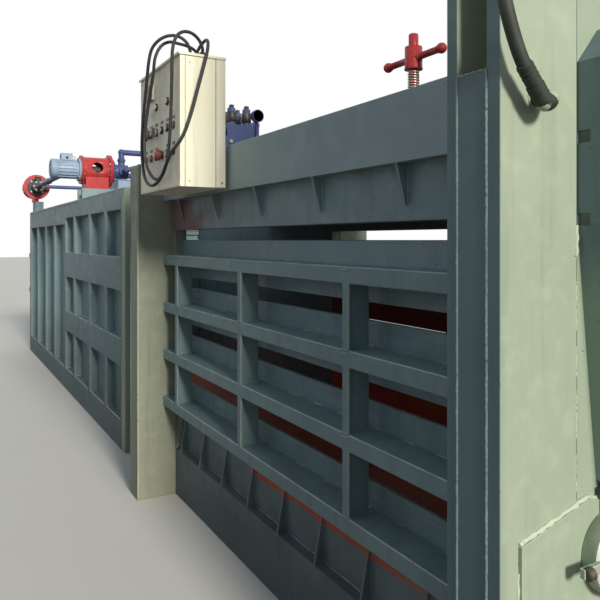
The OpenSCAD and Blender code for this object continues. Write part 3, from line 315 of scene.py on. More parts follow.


# One green paint in two copies: the darker, bluer green is painted shade and the lighter, yellower green is
# painted sunlight
SHADED_GREEN, SHADED_GREEN_FADED = (119, 143, 148), (134, 156, 158)
SUNLIT_GREEN, SUNLIT_GREEN_FADED = (158, 171, 150), (172, 183, 160)
MATERIALS = {
    "green_paint": painted("green_enamel", SHADED_GREEN, SHADED_GREEN_FADED, dust=0.25, low_shade=0.42),
    "green_light": painted("sunlit_green_enamel", SUNLIT_GREEN, SUNLIT_GREEN_FADED, wear=0.72),
    # The wall paint is a darker, bluer copy too: painted shade
    "wall_paint": painted("wall_enamel", (110, 134, 140), (124, 147, 150), dust=0.2,
                          extra=primer_and_painted_light_inside, low_shade=0.62),
    "inner_primer": primer_floor("red_oxide_primer"),
    "cream_paint": painted("cream_powder_coat", (252, 245, 216), (254, 250, 226), 0.44, 0.74, 0.0),
    "red_paint": painted("red_enamel", (172, 44, 46), (184, 62, 58), rough=0.36, wear=0.7, dust=0.0),
    "blue_paint": painted("dark_blue_enamel", (62, 72, 118), (76, 88, 134), rough=0.4, wear=0.7, dust=0.0),
    "grey_blue_paint": painted("grey_blue_enamel", (138, 158, 184), (156, 174, 196), rough=0.42, dust=0.0),
    "bright_steel": bare_steel("ground_rod", (214, 214, 216), 0.16, 0.1, (1, 1, 8)),
    "blade_steel": bare_steel("blade_steel", (158, 156, 152), 0.36, 0.5, (8, 1, 1)),
    "dark_metal": casting("dark_casting", (58, 60, 64)),
    "galvanised_pipe": bare_steel("galvanised_pipe", (176, 178, 178), 0.42, 0.2),
    "black_plastic": plastic("black_plastic", (30, 30, 32)),
    "green_plastic": plastic("green_plastic", (26, 70, 44), 0.28),
    "red_plastic": plastic("red_plastic", (112, 32, 30), 0.28),
    "lamp_plastic": plastic("lamp_plastic", (206, 196, 178), 0.24),
    "hose_rubber": rubber("hose_rubber", (36, 42, 34)),
    "cable_sheath": rubber("cable_sheath", (34, 36, 36)),
}
# Edge paints: rubbed paint, and edges lighter than their paint throughout as painted highlights
HIGHLIT_WORN_EDGES = {slot: worn_edge(f"worn_highlit_{name}_edge", *look) for slot, name, *look in (
    ("green_paint", "green", (150, 168, 160), (186, 196, 188)),
    ("green_light", "light", (196, 206, 186), (222, 226, 210), 0.3),
    ("wall_paint", "wall", (128, 146, 142), (150, 160, 154)),
    ("cream_paint", "cream", (244, 238, 212), (252, 248, 232), 0.2),
    ("red_paint", "red", (190, 70, 66), (206, 110, 100), 0.3),
    ("blue_paint", "blue", (84, 94, 138), (110, 116, 150), 0.3),
    ("grey_blue_paint", "grey_blue", (164, 180, 200), (190, 200, 210), 0.3),
)}
OWN_EDGE = {"base_frame": worn_edge("worn_highlit_base_edge", (96, 112, 114), (128, 140, 140), 0.3)}
WELD = painted("weld_enamel", (120, 142, 143), (142, 160, 156), rough=0.4, wear=0.66, dust=0.2, low_shade=0.6)
# Pale weld paint: painted highlights on welds over sunlit faces
WELD_HIGHLIGHT = painted("weld_highlight_enamel", (188, 198, 174), (212, 218, 196), rough=0.42, wear=0.68)
FASTENER = bare_steel("zinc_fastener", (168, 166, 158), 0.38, 0.45)


# Materials and edges of the solids
# The top girder carries painted sky light on its outer side
OWN_PAINT = {"right_top_girder": painted("girder_enamel", SHADED_GREEN, SHADED_GREEN_FADED, extra=painted_sky_light_and_primer),
             "base_frame": painted("base_enamel", SHADED_GREEN, SHADED_GREEN_FADED, dust=0.2,
                                   extra=primer_under_rail, low_shade=0.66),
             # The gate's own darker, bluer green is painted shade
             "gate": painted("gate_enamel", (94, 114, 120), (106, 127, 131), extra=painted_sunlight_on_gate),
             "middle_frame": painted("dusty_enamel", (142, 148, 130), (156, 160, 140))}
# The columns in the sunlit green, with painted shade on their outer sides
for column in ("right_portal_column", "left_portal_column"):
    OWN_PAINT[column] = painted(column + "_enamel", SUNLIT_GREEN, SUNLIT_GREEN_FADED, wear=0.73, extra=painted_shade_outside)
BEVELS = {"cream_paint": 0.003, "green_paint": 0.003, "green_light": 0.004, "wall_paint": 0.003,
          "red_paint": 0.002, "blue_paint": 0.002, "grey_blue_paint": 0.0015}


def modify(piece, name, kind, **values):
    made = piece.modifiers.new(name, kind)
    for key, value in values.items():
        setattr(made, key, value)


def dress(node, slot):
    """A solid's paint, and its rubbed edges where the slot has them."""
    piece = frame["nodes"][node]
    piece.data.materials.clear()
    piece.data.materials.append(OWN_PAINT.get(node, MATERIALS[slot]))
    if slot not in HIGHLIT_WORN_EDGES or node == "pipework":
        return
    piece.data.materials.append(OWN_EDGE.get(node, HIGHLIT_WORN_EDGES[slot]))
    modify(piece, "weld", "WELD", merge_threshold=0.00005)
    modify(piece, "flat", "DECIMATE", decimate_type="DISSOLVE", angle_limit=math.radians(0.6))
    modify(piece, "edge", "BEVEL", width=BEVELS[slot], segments=1, limit_method="ANGLE",
           angle_limit=math.radians(50), use_clamp_overlap=True, material=1, loop_slide=False)


for part in frame["record"]["subparts"]:
    dress(part["node"], part["material_slot"])


# Mesh building
def across(axis):
    """Two directions square to an axis."""
    helper = Z if abs(axis.z) < 0.9 else X
    u = axis.cross(helper).normalized()
    return u, axis.cross(u).normalized()


def around(count, start=0.0):
    """Cosine and sine of evenly spaced angles of a full turn."""
    angles = [start + 2 * math.pi * k / count for k in range(count)]
    return [(math.cos(a), math.sin(a)) for a in angles]


class Shape:
    def __init__(self):
        self.points = []
        self.faces = []

    def add(self, points, faces):
        start = len(self.points)
        self.points += [tuple(p) for p in points]
        self.faces += [tuple(i + start for i in f) for f in faces]

    def skin(self, points, sides):
        """Rings of points, one after another, joined to a tube with closed ends."""
        last = len(points) - sides
        faces = []
        for ring in range(0, last, sides):
            for k in range(sides):
                after = (k + 1) % sides
                faces.append((ring + k, ring + after, ring + sides + after, ring + sides + k))
        faces.append(range(sides - 1, -1, -1))
        faces.append(range(last, last + sides))
        self.add(points, faces)

    def lathe(self, base, axis, profile, sides=24, turn=0.0):
        """A profile of (distance along the axis, radius) turned about the axis, closed at both ends."""
        base, axis = Vector(base), Vector(axis).normalized()
        u, v = across(axis)
        points = []
        for along, radius in profile:
            for cos, sin in around(sides, turn):
                points.append(base + axis * along + (u * cos + v * sin) * radius)
        self.skin(points, sides)

    def stud(self, base, axis, radius, height, top, top_radius, sides, turn=0.0):
        """A round or many-sided stud, chamfered between height and top."""
        self.lathe(base, axis, [(0, radius), (height, radius), (top, top_radius)], sides, turn)

    def block(self, corner, opposite, chamfer=0.002):
        """A box with chamfered edges: each of its corners becomes one point on each of three faces."""
        ends = Vector(map(min, corner, opposite)), Vector(map(max, corner, opposite))
        points = []
        for place in itertools.product((0, 1), repeat=3):
            for own in range(3):
                shift = Vector(0 if i == own else chamfer * (1 - 2 * s) for i, s in enumerate(place))
                points.append(Vector(ends[s][i] for i, s in enumerate(place)) + shift)
        faces = [[i, i + 1, i + 2] for i in range(0, len(points), 3)]
        steps = (12, 6, 3)
        for i in range(3):
            j, k = (i + 1) % 3, (i + 2) % 3
            step, p, q = steps[i], steps[j], steps[k]
            faces += [[side + c + i for c in (0, p, p + q, q)] for side in (0, step)]
            faces += [[c + j, c + step + j, c + step + k, c + k] for c in (0, p, q, p + q)]
        middle = (ends[0] + ends[1]) / 2
        for face in faces:
            a, b, c = [points[i] for i in face[:3]]
            if (b - a).cross(c - a).dot(a - middle) < 0:
                face.reverse()
        self.add(points, faces)

    def tube(self, path, radii, sides=10):
        """A tube along a path; radii is one number or one for each point."""
        path = [Vector(p) for p in path]
        if not hasattr(radii, "__len__"):
            radii = [radii] * len(path)
        points = []
        u = across((path[1] - path[0]).normalized())[0]
        for i, p in enumerate(path):
            t = (path[min(i + 1, len(path) - 1)] - path[max(i - 1, 0)]).normalized()
            u = (u - t * u.dot(t)).normalized()
            v = t.cross(u)
            for cos, sin in around(sides):
                points.append(p + (u * cos + v * sin) * radii[i])
        self.skin(points, sides)

    def bead(self, start, end, radius=0.004, pitch=None):
        """A weld bead: a ripple along a joint, half sunk in the plates."""
        start, end = Vector(start), Vector(end)
        length = (end - start).length
        count = max(3, int(length / (pitch or radius * 2.4)))
        path, radii = [], []
        for i in range(count + 1):
            wander = Vector(random.uniform(-1, 1) for _ in range(3)) * radius * 0.18
            path.append(start.lerp(end, i / count) + wander)
            radii.append(radius * (1.12 if i % 2 else 0.82) * random.uniform(0.86, 1.14))
        self.tube(path, radii, 6)

    def hex_bolt(self, place, axis, size, washer=True):
        """A hexagon head with a chamfered top on a washer; size is the thread's diameter."""
        turn = random.uniform(0, math.pi / 3)
        base = 0.0
        if washer:
            self.stud(place, axis, size * 1.15, size * 0.16, size * 0.2, size * 1.08, 20)
            base = size * 0.18
        profile = [(base, size * 0.92), (base + size * 0.56, size * 0.92), (base + size * 0.66, size * 0.78)]
        self.lathe(place, axis, profile, 6, turn)

    def make(self, name, slot, material=None, body=ROOT, sharp=35):
        """The shape as a piece that rides on a body; without a material it has its slot's own."""
        mesh = bpy.data.meshes.new(name)
        mesh.from_pydata(self.points, [], self.faces)
        mesh.validate()
        mesh.materials.append(material or MATERIALS[slot])
        for face in mesh.polygons:
            face.use_smooth = True
        mesh.set_sharp_from_angle(angle=math.radians(sharp))
        piece = new_object(name, mesh)
        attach(piece, body)
        return piece

    def fasten(self, name, body=ROOT):
        """The shape as a piece of zinc-plated fasteners."""
        self.make(name, "dark_metal", FASTENER, body)


# Cords: the hose to the gate cylinder and the two cables of the cabinet
GATE_HOSE = [
    (4.052, -0.815, 1.945), (4.052, -0.843, 1.977), (4.05, -0.866, 2.02), (4.047, -0.889, 2.083),
    (4.043, -0.911, 2.168), (4.04, -0.928, 2.26), (4.04, -0.938, 2.36), (4.04, -0.942, 2.48),
    (4.04, -0.94, 2.62), (4.042, -0.932, 2.78), (4.045, -0.918, 2.94), (4.05, -0.895, 3.1),
    (4.056, -0.86, 3.25), (4.064, -0.805, 3.39), (4.072, -0.73, 3.51), (4.08, -0.635, 3.61),
    (4.086, -0.525, 3.68), (4.09, -0.41, 3.72), (4.09, -0.3, 3.732), (4.09, -0.19, 3.73),
    (4.09, -0.11, 3.73),
]
CABINET_CABLE = [
    (1.95, -0.83, 2.512), (1.95, -0.83, 2.55), (1.945, -0.848, 2.592), (1.93, -0.886, 2.62),
    (1.905, -0.93, 2.622), (1.878, -0.97, 2.6), (1.85, -0.996, 2.56), (1.825, -1.004, 2.5),
    (1.79, -1.004, 2.41), (1.74, -1.0, 2.31), (1.69, -0.996, 2.2), (1.662, -0.992, 2.09),
    (1.672, -0.99, 1.99), (1.72, -0.99, 1.915), (1.8, -0.99, 1.88), (1.89, -0.99, 1.878),
    (1.98, -0.99, 1.905), (2.06, -0.99, 1.96), (2.12, -0.985, 2.01), (2.16, -0.962, 2.055),
    (2.172, -0.935, 2.11), (2.174, -0.905, 2.2), (2.174, -0.875, 2.31), (2.174, -0.845, 2.42),
    (2.168, -0.826, 2.49), (2.144, -0.812, 2.54), (2.095, -0.8, 2.57), (2.02, -0.788, 2.58),
    (1.92, -0.77, 2.582), (1.82, -0.745, 2.58), (1.73, -0.712, 2.56), (1.655, -0.672, 2.5),
    (1.605, -0.64, 2.41), (1.584, -0.627, 2.3), (1.58, -0.625, 2.18), (1.58, -0.625, 2.092),
]
SPARE_CABLE = [
    (2.04, -0.8, 2.512), (2.04, -0.8, 2.545), (2.044, -0.82, 2.582), (2.056, -0.86, 2.604),
    (2.074, -0.906, 2.6), (2.092, -0.944, 2.574), (2.106, -0.968, 2.53), (2.11, -0.978, 2.47),
    (2.1, -0.976, 2.38), (2.082, -0.972, 2.29), (2.066, -0.97, 2.19), (2.05, -0.97, 2.09),
    (2.018, -0.97, 1.995), (1.95, -0.97, 1.925), (1.86, -0.975, 1.905), (1.775, -0.985, 1.945),
    (1.725, -0.992, 2.02), (1.715, -0.994, 2.12), (1.738, -0.99, 2.23), (1.777, -0.984, 2.34),
    (1.815, -0.978, 2.44), (1.84, -0.976, 2.52), (1.85, -0.95, 2.58), (1.85, -0.905, 2.61),
    (1.84, -0.85, 2.612), (1.82, -0.795, 2.612), (1.79, -0.745, 2.605), (1.75, -0.695, 2.57),
    (1.705, -0.655, 2.5), (1.675, -0.632, 2.4), (1.662, -0.625, 2.29), (1.66, -0.625, 2.18),
    (1.66, -0.625, 2.092),
]


def smooth_path(points, steps=4):
    """A smooth line through the points."""
    points = [Vector(p) for p in points]
    line = []
    for i in range(len(points) - 1):
        a, b = points[max(i - 1, 0)], points[i]
        c, d = points[i + 1], points[min(i + 2, len(points) - 1)]
        for k in range(steps):
            t = k / steps
            line.append(0.5 * (2 * b + (c - a) * t + (2 * a - 5 * b + 4 * c - d) * t * t
                               + (3 * b - a - 3 * c + d) * t ** 3))
    return line + [points[-1]]


def make_cord(name, node, points, diameter, slot):
    path = smooth_path(points)
    shape = Shape()
    shape.tube(path, diameter / 2, 14)
    piece = shape.make(name, slot)
    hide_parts(node)


make_cord("gate_hose_cover", "gate_hose", GATE_HOSE, 0.032, "hose_rubber")
make_cord("cabinet_cable_sheath", "cabinet_cable", CABINET_CABLE, 0.016, "cable_sheath")
make_cord("spare_cable_sheath", "spare_cable", SPARE_CABLE, 0.016, "cable_sheath")


# Welds
def seam(shape, start, end, radius=0.0045, pitch=None):
    """The same weld on both sides of the machine."""
    shape.bead(start, end, radius, pitch)
    shape.bead((start[0], -start[1], start[2]), (end[0], -end[1], end[2]), radius, pitch)


def upright(shape, x, y, z0, z1, radius=0.0045, pitch=None):
    """A seam straight up, on both sides of the machine."""
    seam(shape, (x, y, z0), (x, y, z1), radius, pitch)


def stitches(shape, start, end, length=0.09, gap=0.12, radius=0.0045):
    """Short welds with gaps along a line, on both sides."""
    start, end = Vector(start), Vector(end)
    whole = (end - start).length
    along = 0.0
    while along < whole - 0.02:
        stop = min(whole, along + length * random.uniform(0.7, 1.25))
        seam(shape, start.lerp(end, along / whole), start.lerp(end, stop / whole), radius)
        along = stop + gap * random.uniform(0.6, 1.3)


def portal_welds():
    shape = Shape()
    back, front_x, top, cover = PORTAL_BACK_X, PORTAL_FRONT_X, COLUMN_TOP_Z, COVER_TOP_Z
    x0, x1 = back + 0.035, front_x - 0.04
    for x in (x0, x1):
        upright(shape, x, FRAME_Y, 0.035, cover, 0.0034)
        seam(shape, (x, FRAME_Y - 0.0125, cover), (x, FRAME_Y - 0.102, cover + 0.002), 0.004)
        upright(shape, x, FRAME_Y - 0.1015, cover, top, 0.0036, 0.016)
    seam(shape, (x0, FRAME_Y - 0.002, cover), (x1, FRAME_Y - 0.002, cover), 0.004)
    for y, z in ((FRAME_Y, 0.031), (FRAME_Y + 0.001, top)):
        seam(shape, (back, y, z), (front_x, y, z), 0.006)
    seam(shape, (front_x + 0.001, PORTAL_INNER_Y, top), (front_x + 0.001, FRAME_Y, top), 0.006)
    upright(shape, back - 0.001, SIDE_Y, GIRDER_Z0, GIRDER_Z1, 0.005)
    shape.make("portal_column_welds", "green_light", WELD)

    front = Shape()
    x, inner = PORTAL_FRONT_X, PORTAL_INNER_Y + 0.004
    stitches(front, (x, inner, 0.99), (x, inner, 1.6), 0.1, 0.05, 0.0028)
    upright(front, x, inner, 1.56, 1.635, 0.008, 0.014)
    seam(front, (x, 0.805, 0.905), (x, 0.566, 0.968), 0.0085, 0.015)
    seam(front, (x, 0.566, 0.968), (x, 0.43, 0.935), 0.0075, 0.015)
    stitches(front, (x, 0.806, 0.43), (x, 0.806, 0.9), 0.075, 0.05, 0.0065)
    seam(front, (x, 0.43, 0.42), (x, 0.805, 0.42), 0.006)
    # Pale weld paint: painted highlights along the lock pad
    front.make("lock_pad_welds", "green_light", WELD_HIGHLIGHT)


def chamber_side_welds():
    shape = Shape()
    x0, x1 = MIDDLE_X1, PORTAL_BACK_X
    wall, edge, girder, foot = WALL_Y + 0.001, SIDE_Y - 0.0125, GIRDER_Z0 - 0.001, 0.289
    ledges = [FIRST_LEDGE_Z + k * STRIP_PITCH for k in range(4)]
    for top in ledges:
        for x in (x0 + 0.001, x1 - 0.001):
            upright(shape, x, SIDE_Y, top - 0.058, top, 0.005)
            seam(shape, (x, WALL_Y + 0.01, top), (x, SIDE_Y - 0.012, top), 0.0045)
        stitches(shape, (x0 + 0.05, wall, top), (x1 - 0.02, wall, top), 0.07, 0.16, 0.004)
    for i in range(3):
        x = x0 + 0.236 + 0.893 * i
        web = x + 0.0065
        for low in ledges[:3]:
            high = low + STRIP_PITCH - 0.012
            for z in (low + 0.001, high - 0.001):
                seam(shape, (x - 0.021, SIDE_Y - 0.001, z), (x + 0.021, SIDE_Y - 0.001, z), 0.004)
            seam(shape, (web, WALL_Y + 0.035, low), (web, SIDE_Y - 0.014, low), 0.004)
            upright(shape, web, edge, low + 0.004, high, 0.0032, 0.011)
    for i in range(5):
        x = x0 + 0.235 + 0.513 * i
        for face in (x - 0.001, x + 0.013):
            upright(shape, face, GUSSET_Y, 1.716, GIRDER_Z0, 0.0042)
            seam(shape, (face, GUSSET_Y + 0.002, girder), (face, SIDE_Y - 0.008, girder), 0.0042)
    stitches(shape, (x0 + 0.03, GUSSET_Y, girder), (x1 - 0.03, GUSSET_Y, girder), 0.1, 0.15, 0.004)
    for i in range(8):
        x = x0 + 0.07 + 0.32 * i
        for face in (x - 0.001, x + 0.013):
            upright(shape, face, wall, 0.29, 0.478, 0.0042)
            seam(shape, (face, WALL_Y + 0.004, foot), (face, 0.616, foot), 0.0042)
    stitches(shape, (x0 + 0.03, wall, foot), (x1 - 0.03, wall, foot), 0.12, 0.1, 0.005)
    shape.make("chamber_side_welds", "green_paint", WELD)


def middle_frame_welds():
    shape = Shape()
    for x in (MIDDLE_X0 - 0.001, MIDDLE_X1 + 0.001):
        upright(shape, x, 0.62, 0.3, 2.05, 0.0045, 0.016)
    for x in (MIDDLE_X0 + 0.008, MIDDLE_X1 - 0.008):
        upright(shape, x, FRAME_Y - 0.001, 0.01, GIRDER_Z1 - 0.01, 0.0035, 0.014)
    upright(shape, MIDDLE_X1 + 0.001, SIDE_Y, GIRDER_Z0, GIRDER_Z1, 0.005)
    for x in (MIDDLE_X0 + 0.01, MIDDLE_X1 - 0.01):
        shape.bead((x, -FRAME_Y + 0.004, GIRDER_Z1), (x, FRAME_Y - 0.004, GIRDER_Z1), 0.004, 0.018)
    shape.make("middle_frame_welds", "green_light", WELD)


def rear_side_welds():
    shape = Shape()
    face, foot, front_top, rear_top, deck, pitch = 0.6325, 0.227, 1.835, 1.77, 1.98, 0.019
    front_ribs, rear_ribs = (-0.42, -1.04, -1.75, -2.25), (-2.95, -3.6, -4.3, -4.975)
    for ribs, high in ((front_ribs, front_top), (rear_ribs, rear_top)):
        for x in ribs:
            for edge in (x - 0.046, x + 0.046):
                upright(shape, edge, face, foot, high, 0.005, pitch)
    for z in (0.228, 0.629, 0.846, 1.209, 1.471, 1.834):
        seam(shape, (-2.31, face, z), (0.1, face, z), 0.005, pitch)
    for z in (0.228, 1.769):
        seam(shape, (-5.02, face, z), (-2.31, face, z), 0.005, pitch)
    upright(shape, 0.099, SIDE_Y - 0.001, 0.0, deck, 0.0045, 0.018)
    seam(shape, (-5.02, SIDE_Y + 0.001, deck), (-1.48, SIDE_Y + 0.001, deck), 0.0045, 0.02)
    shape.make("rear_side_welds", "green_paint", WELD)


portal_welds()
chamber_side_welds()
middle_frame_welds()
rear_side_welds()


# Gate: welds of the rib frame, the rod's lugs and the lock lugs
def gate_details():
    shape = Shape()
    x = PORTAL_FRONT_X - 0.002
    for z in (1.225, 1.435, 1.64, 1.85):
        for face in (z - 0.001, z + 0.015):
            stitches(shape, (x, 0.146, face), (x, 0.54, face), 0.09, 0.07, 0.0045)
    for y, z0, z1 in ((0.129, 1.01, 2.11), (0.145, 1.02, 2.1)):
        upright(shape, x, y, z0, z1, 0.0048, 0.018)
    for z, y in ((1.002, 0.52), (2.124, 0.51)):
        seam(shape, (x, 0.14, z), (x, y, z), 0.005, 0.018)
    for y in (0.036, 0.063):
        upright(shape, x, y, 0.892, 1.008, 0.006)
    for z in (0.737, 0.8):
        seam(shape, (x, 0.345, z), (x, 0.391, z), 0.006)
    shape.make("gate_welds", "green_paint", WELD, "gate")
    pins = Shape()
    x, z = GATE_CYLINDER_X, 0.95
    ring = [(0, 0.0245), (0.0005, 0.031), (0.007, 0.031), (0.008, 0.029)]
    for s in (-1, 1):
        pins.lathe((x, s * 0.07, z), (0, s, 0), ring, 28)
        pins.tube([(x, s * 0.0795, z - 0.034), (x, s * 0.0795, z + 0.034)], 0.0028, 8)
    pins.fasten("gate_pin_rings", "gate")


gate_details()


# Gate locks: the hub's rim, keeper plates with bolts, and grips
def lock_details():
    rim = [(0, 0.099), (0.0012, 0.0975), (0.0026, 0.094), (0.0026, 0.09), (0, 0.0885)]
    knob = [(-0.01, 0.0135), (-0.008, 0.0155), (0.01, 0.0155), (0.013, 0.012)]
    for side, s in (("right", -1), ("left", 1)):
        body = side + "_gate_lock"
        y = s * LOCK_Y
        ring = Shape()
        ring.lathe((4.053, y, LOCK_Z), X, rim, 64)
        # The rim in the lighter edge paint: a painted highlight on its chamfer
        ring.make(side + "_lock_rim", "green_light", HIGHLIT_WORN_EDGES["green_light"], body)
        plate = Shape()
        plate.stud((4.068, y, LOCK_Z), X, 0.03, 0.003, 0.004, 0.028, 32)
        for k in range(3):
            a = 2.1 * k + 0.4
            plate.hex_bolt((4.0718, y + 0.018 * math.cos(a), LOCK_Z + 0.018 * math.sin(a)), X, 0.006, False)
        plate.fasten(side + "_lock_keeper")
        grip = Shape()
        grip.lathe((4.0675, s * 0.645, LOCK_Z), (0, s, 0), knob, 20)
        grip.make(side + "_lock_grip", "black_plastic", body=body)


lock_details()


# Gate cylinder: gland and flange bolts, wiper, port and hose fittings
def gate_cylinder_details():
    bolts, dark = Shape(), Shape()
    x, port_z, gland_z = GATE_CYLINDER_X, 3.73, 2.2905
    for cos, sin in around(8, math.pi / 8):
        bolts.hex_bolt((x + 0.073 * cos, 0.073 * sin, 3.545), Z, 0.01)
    for cos, sin in around(10):
        bolts.stud((x + 0.056 * cos, 0.056 * sin, gland_z), -Z, 0.0062, 0.007, 0.008, 0.0052, 14)
    bolts.fasten("gate_cylinder_bolts")
    dark.stud((x, 0, gland_z), -Z, 0.0345, 0.01, 0.012, 0.032, 40)
    dark.stud((x, 0, 3.79), Z, 0.058, 0.006, 0.01, 0.053, 40)
    dark.stud((x, 0, 3.8), Z, 0.02, 0.014, 0.016, 0.017, 6)
    dark.make("gate_cylinder_cap", "dark_metal")
    fitting = Shape()
    fitting.stud((x, -0.086, port_z), -Y, 0.0185, 0.02, 0.022, 0.0175, 6, 0.2)
    fitting.stud((x, -0.109, port_z), -Y, 0.0178, 0.046, 0.048, 0.0168, 24)
    end, lead = Vector((4.052, -0.811, 1.9412)), Vector((0, -0.658, 0.753))
    fitting.lathe(end, lead, [(0, 0.0186), (0.014, 0.0186), (0.052, 0.0184), (0.054, 0.0168)], 24)
    crimp = [(0, 0.0184), (0.001, 0.0194), (0.003, 0.0194), (0.004, 0.0184)]
    for along in (0.02, 0.032, 0.044):
        fitting.lathe(end + lead * along, lead, crimp, 24)
    fitting.make("hose_ferrules", "hose_rubber")
    sleeve = Shape()
    bend = [(3.998, -0.745, 1.93), (4.03, -0.751, 1.922), (4.047, -0.758, 1.914), (4.052, -0.768, 1.908),
            (4.052, -0.78, 1.907), (4.052, -0.795, 1.921), (4.052, -0.8112, 1.941)]
    sleeve.tube(smooth_path(bend, 3), 0.0206, 16)
    sleeve.make("hose_bend_sleeve", "hose_rubber")
    collar = Shape()
    collar.lathe((4.0, -0.745, 1.93), X, [(0, 0.028), (0.002, 0.028), (0.003, 0.026), (0.003, 0.022)], 28)
    collar.make("hose_bend_collar", "green_light")


# Welds of the crosshead bracket, the roof and the pressure plate
def top_details():
    welds = Shape()
    x = PORTAL_FRONT_X + 0.001
    for y in (0.1295, 0.1505):
        upright(welds, x, y, 3.522, 3.7, 0.006)
    seam(welds, (x, 0.0, 3.4795), (x, 0.148, 3.4795), 0.006)
    for y in (0.129, 0.151):
        seam(welds, (4.01, y, 3.521), (4.16, y, 3.521), 0.005)
    welds.make("crosshead_welds", "green_light", WELD)

    roof = Shape()
    z = ROOF_WELD_Z
    for x in (2.585, 2.635, 2.725, 2.775):
        for y in (-0.687, 0.687):
            roof.bead((x, y, 1.903), (x, y, 2.031), 0.0045)
    for x in (2.075, 2.175, 3.185, 3.285, 1.403, 1.503):
        seam(roof, (x, 0.0, z), (x, 0.555, z), 0.0045, 0.02)
    nut = [(SCREW_X + 0.0645 * cos, 0.0645 * sin, 2.0335) for cos, sin in around(16)]
    for k, (start, end) in enumerate(zip(nut, nut[1:] + nut[:1])):
        if abs(math.cos((k + 0.5) * math.pi / 8)) > 0.72:
            roof.bead(start, end, 0.0045, 0.006)
    roof.bead((0.21, -0.56, z), (0.21, 0.56, z), 0.005, 0.02)
    roof.make("roof_welds", "green_paint", WELD)

    plate = Shape()
    for y in (-0.31, -0.29, -0.011, 0.011, 0.29, 0.31):
        plate.bead((2.225, y, z), (3.135, y, z), 0.004, 0.02)
    ring = [(SCREW_X + 0.0715 * cos, 0.0715 * sin, z + 0.0005) for cos, sin in around(28)]
    plate.tube(ring + ring[:1], [0.0042 if i % 2 else 0.0052 for i in range(29)], 6)
    plate.make("pressure_plate_welds", "green_paint", WELD, "pressure_plate")


# Roof screw: left-hand thread at the coupling's 12 mm a turn, collar and bar knobs
def screw_details():
    thread = Shape()
    pitch, core, crest, steps = 0.012, 0.0229, 0.0279, 20
    low, high = 1.845, 2.392
    count = int((high - low) / pitch * steps)
    points = []
    for i in range(count + 1):
        a = 2 * math.pi * i / steps
        z = low + pitch * i / steps
        top = core + (crest - core) * min(1, i / steps, (count - i) / steps)
        for r, dz in ((core - 0.001, -0.0043), (top, -0.0016), (top, 0.0016), (core - 0.001, 0.0043)):
            points.append((SCREW_X + r * math.cos(a), -r * math.sin(a), z + dz))
    thread.add(points, [(b, b + 1, b + 5, b + 4) for b in range(count * 4) if b % 4 < 3])
    thread.make("screw_thread", "red_paint", FASTENER, "tension_screw", 25)
    head = Shape()
    bar_z = 2.45
    head.lathe((SCREW_X, 0, 2.395), Z, [(0, 0.036), (0.002, 0.043), (0.006, 0.044), (0.006, 0.041)], 36)
    head.lathe((SCREW_X, 0, 2.499), Z, [(0, 0.0412), (0.004, 0.04), (0.006, 0.034)], 36)
    head.lathe((SCREW_X, 0, 2.5595), Z, [(0, 0.0226), (0.003, 0.0215), (0.006, 0.017)], 32)
    for s in (-1, 1):
        for out, profile in ((0.0405, [(0, 0.021), (0.004, 0.0205), (0.007, 0.0165)]),
                             (0.165, [(0, 0.0163), (0.003, 0.0185), (0.008, 0.0195)])):
            head.lathe((SCREW_X + s * out, 0, bar_z), (s, 0, 0), profile, 24)
    head.bead((SCREW_X + 0.03, -0.031, bar_z), (SCREW_X + 0.03, 0.031, bar_z), 0.002)
    head.make("screw_head_rings", "red_paint", body="tension_screw")


gate_cylinder_details()
top_details()
screw_details()


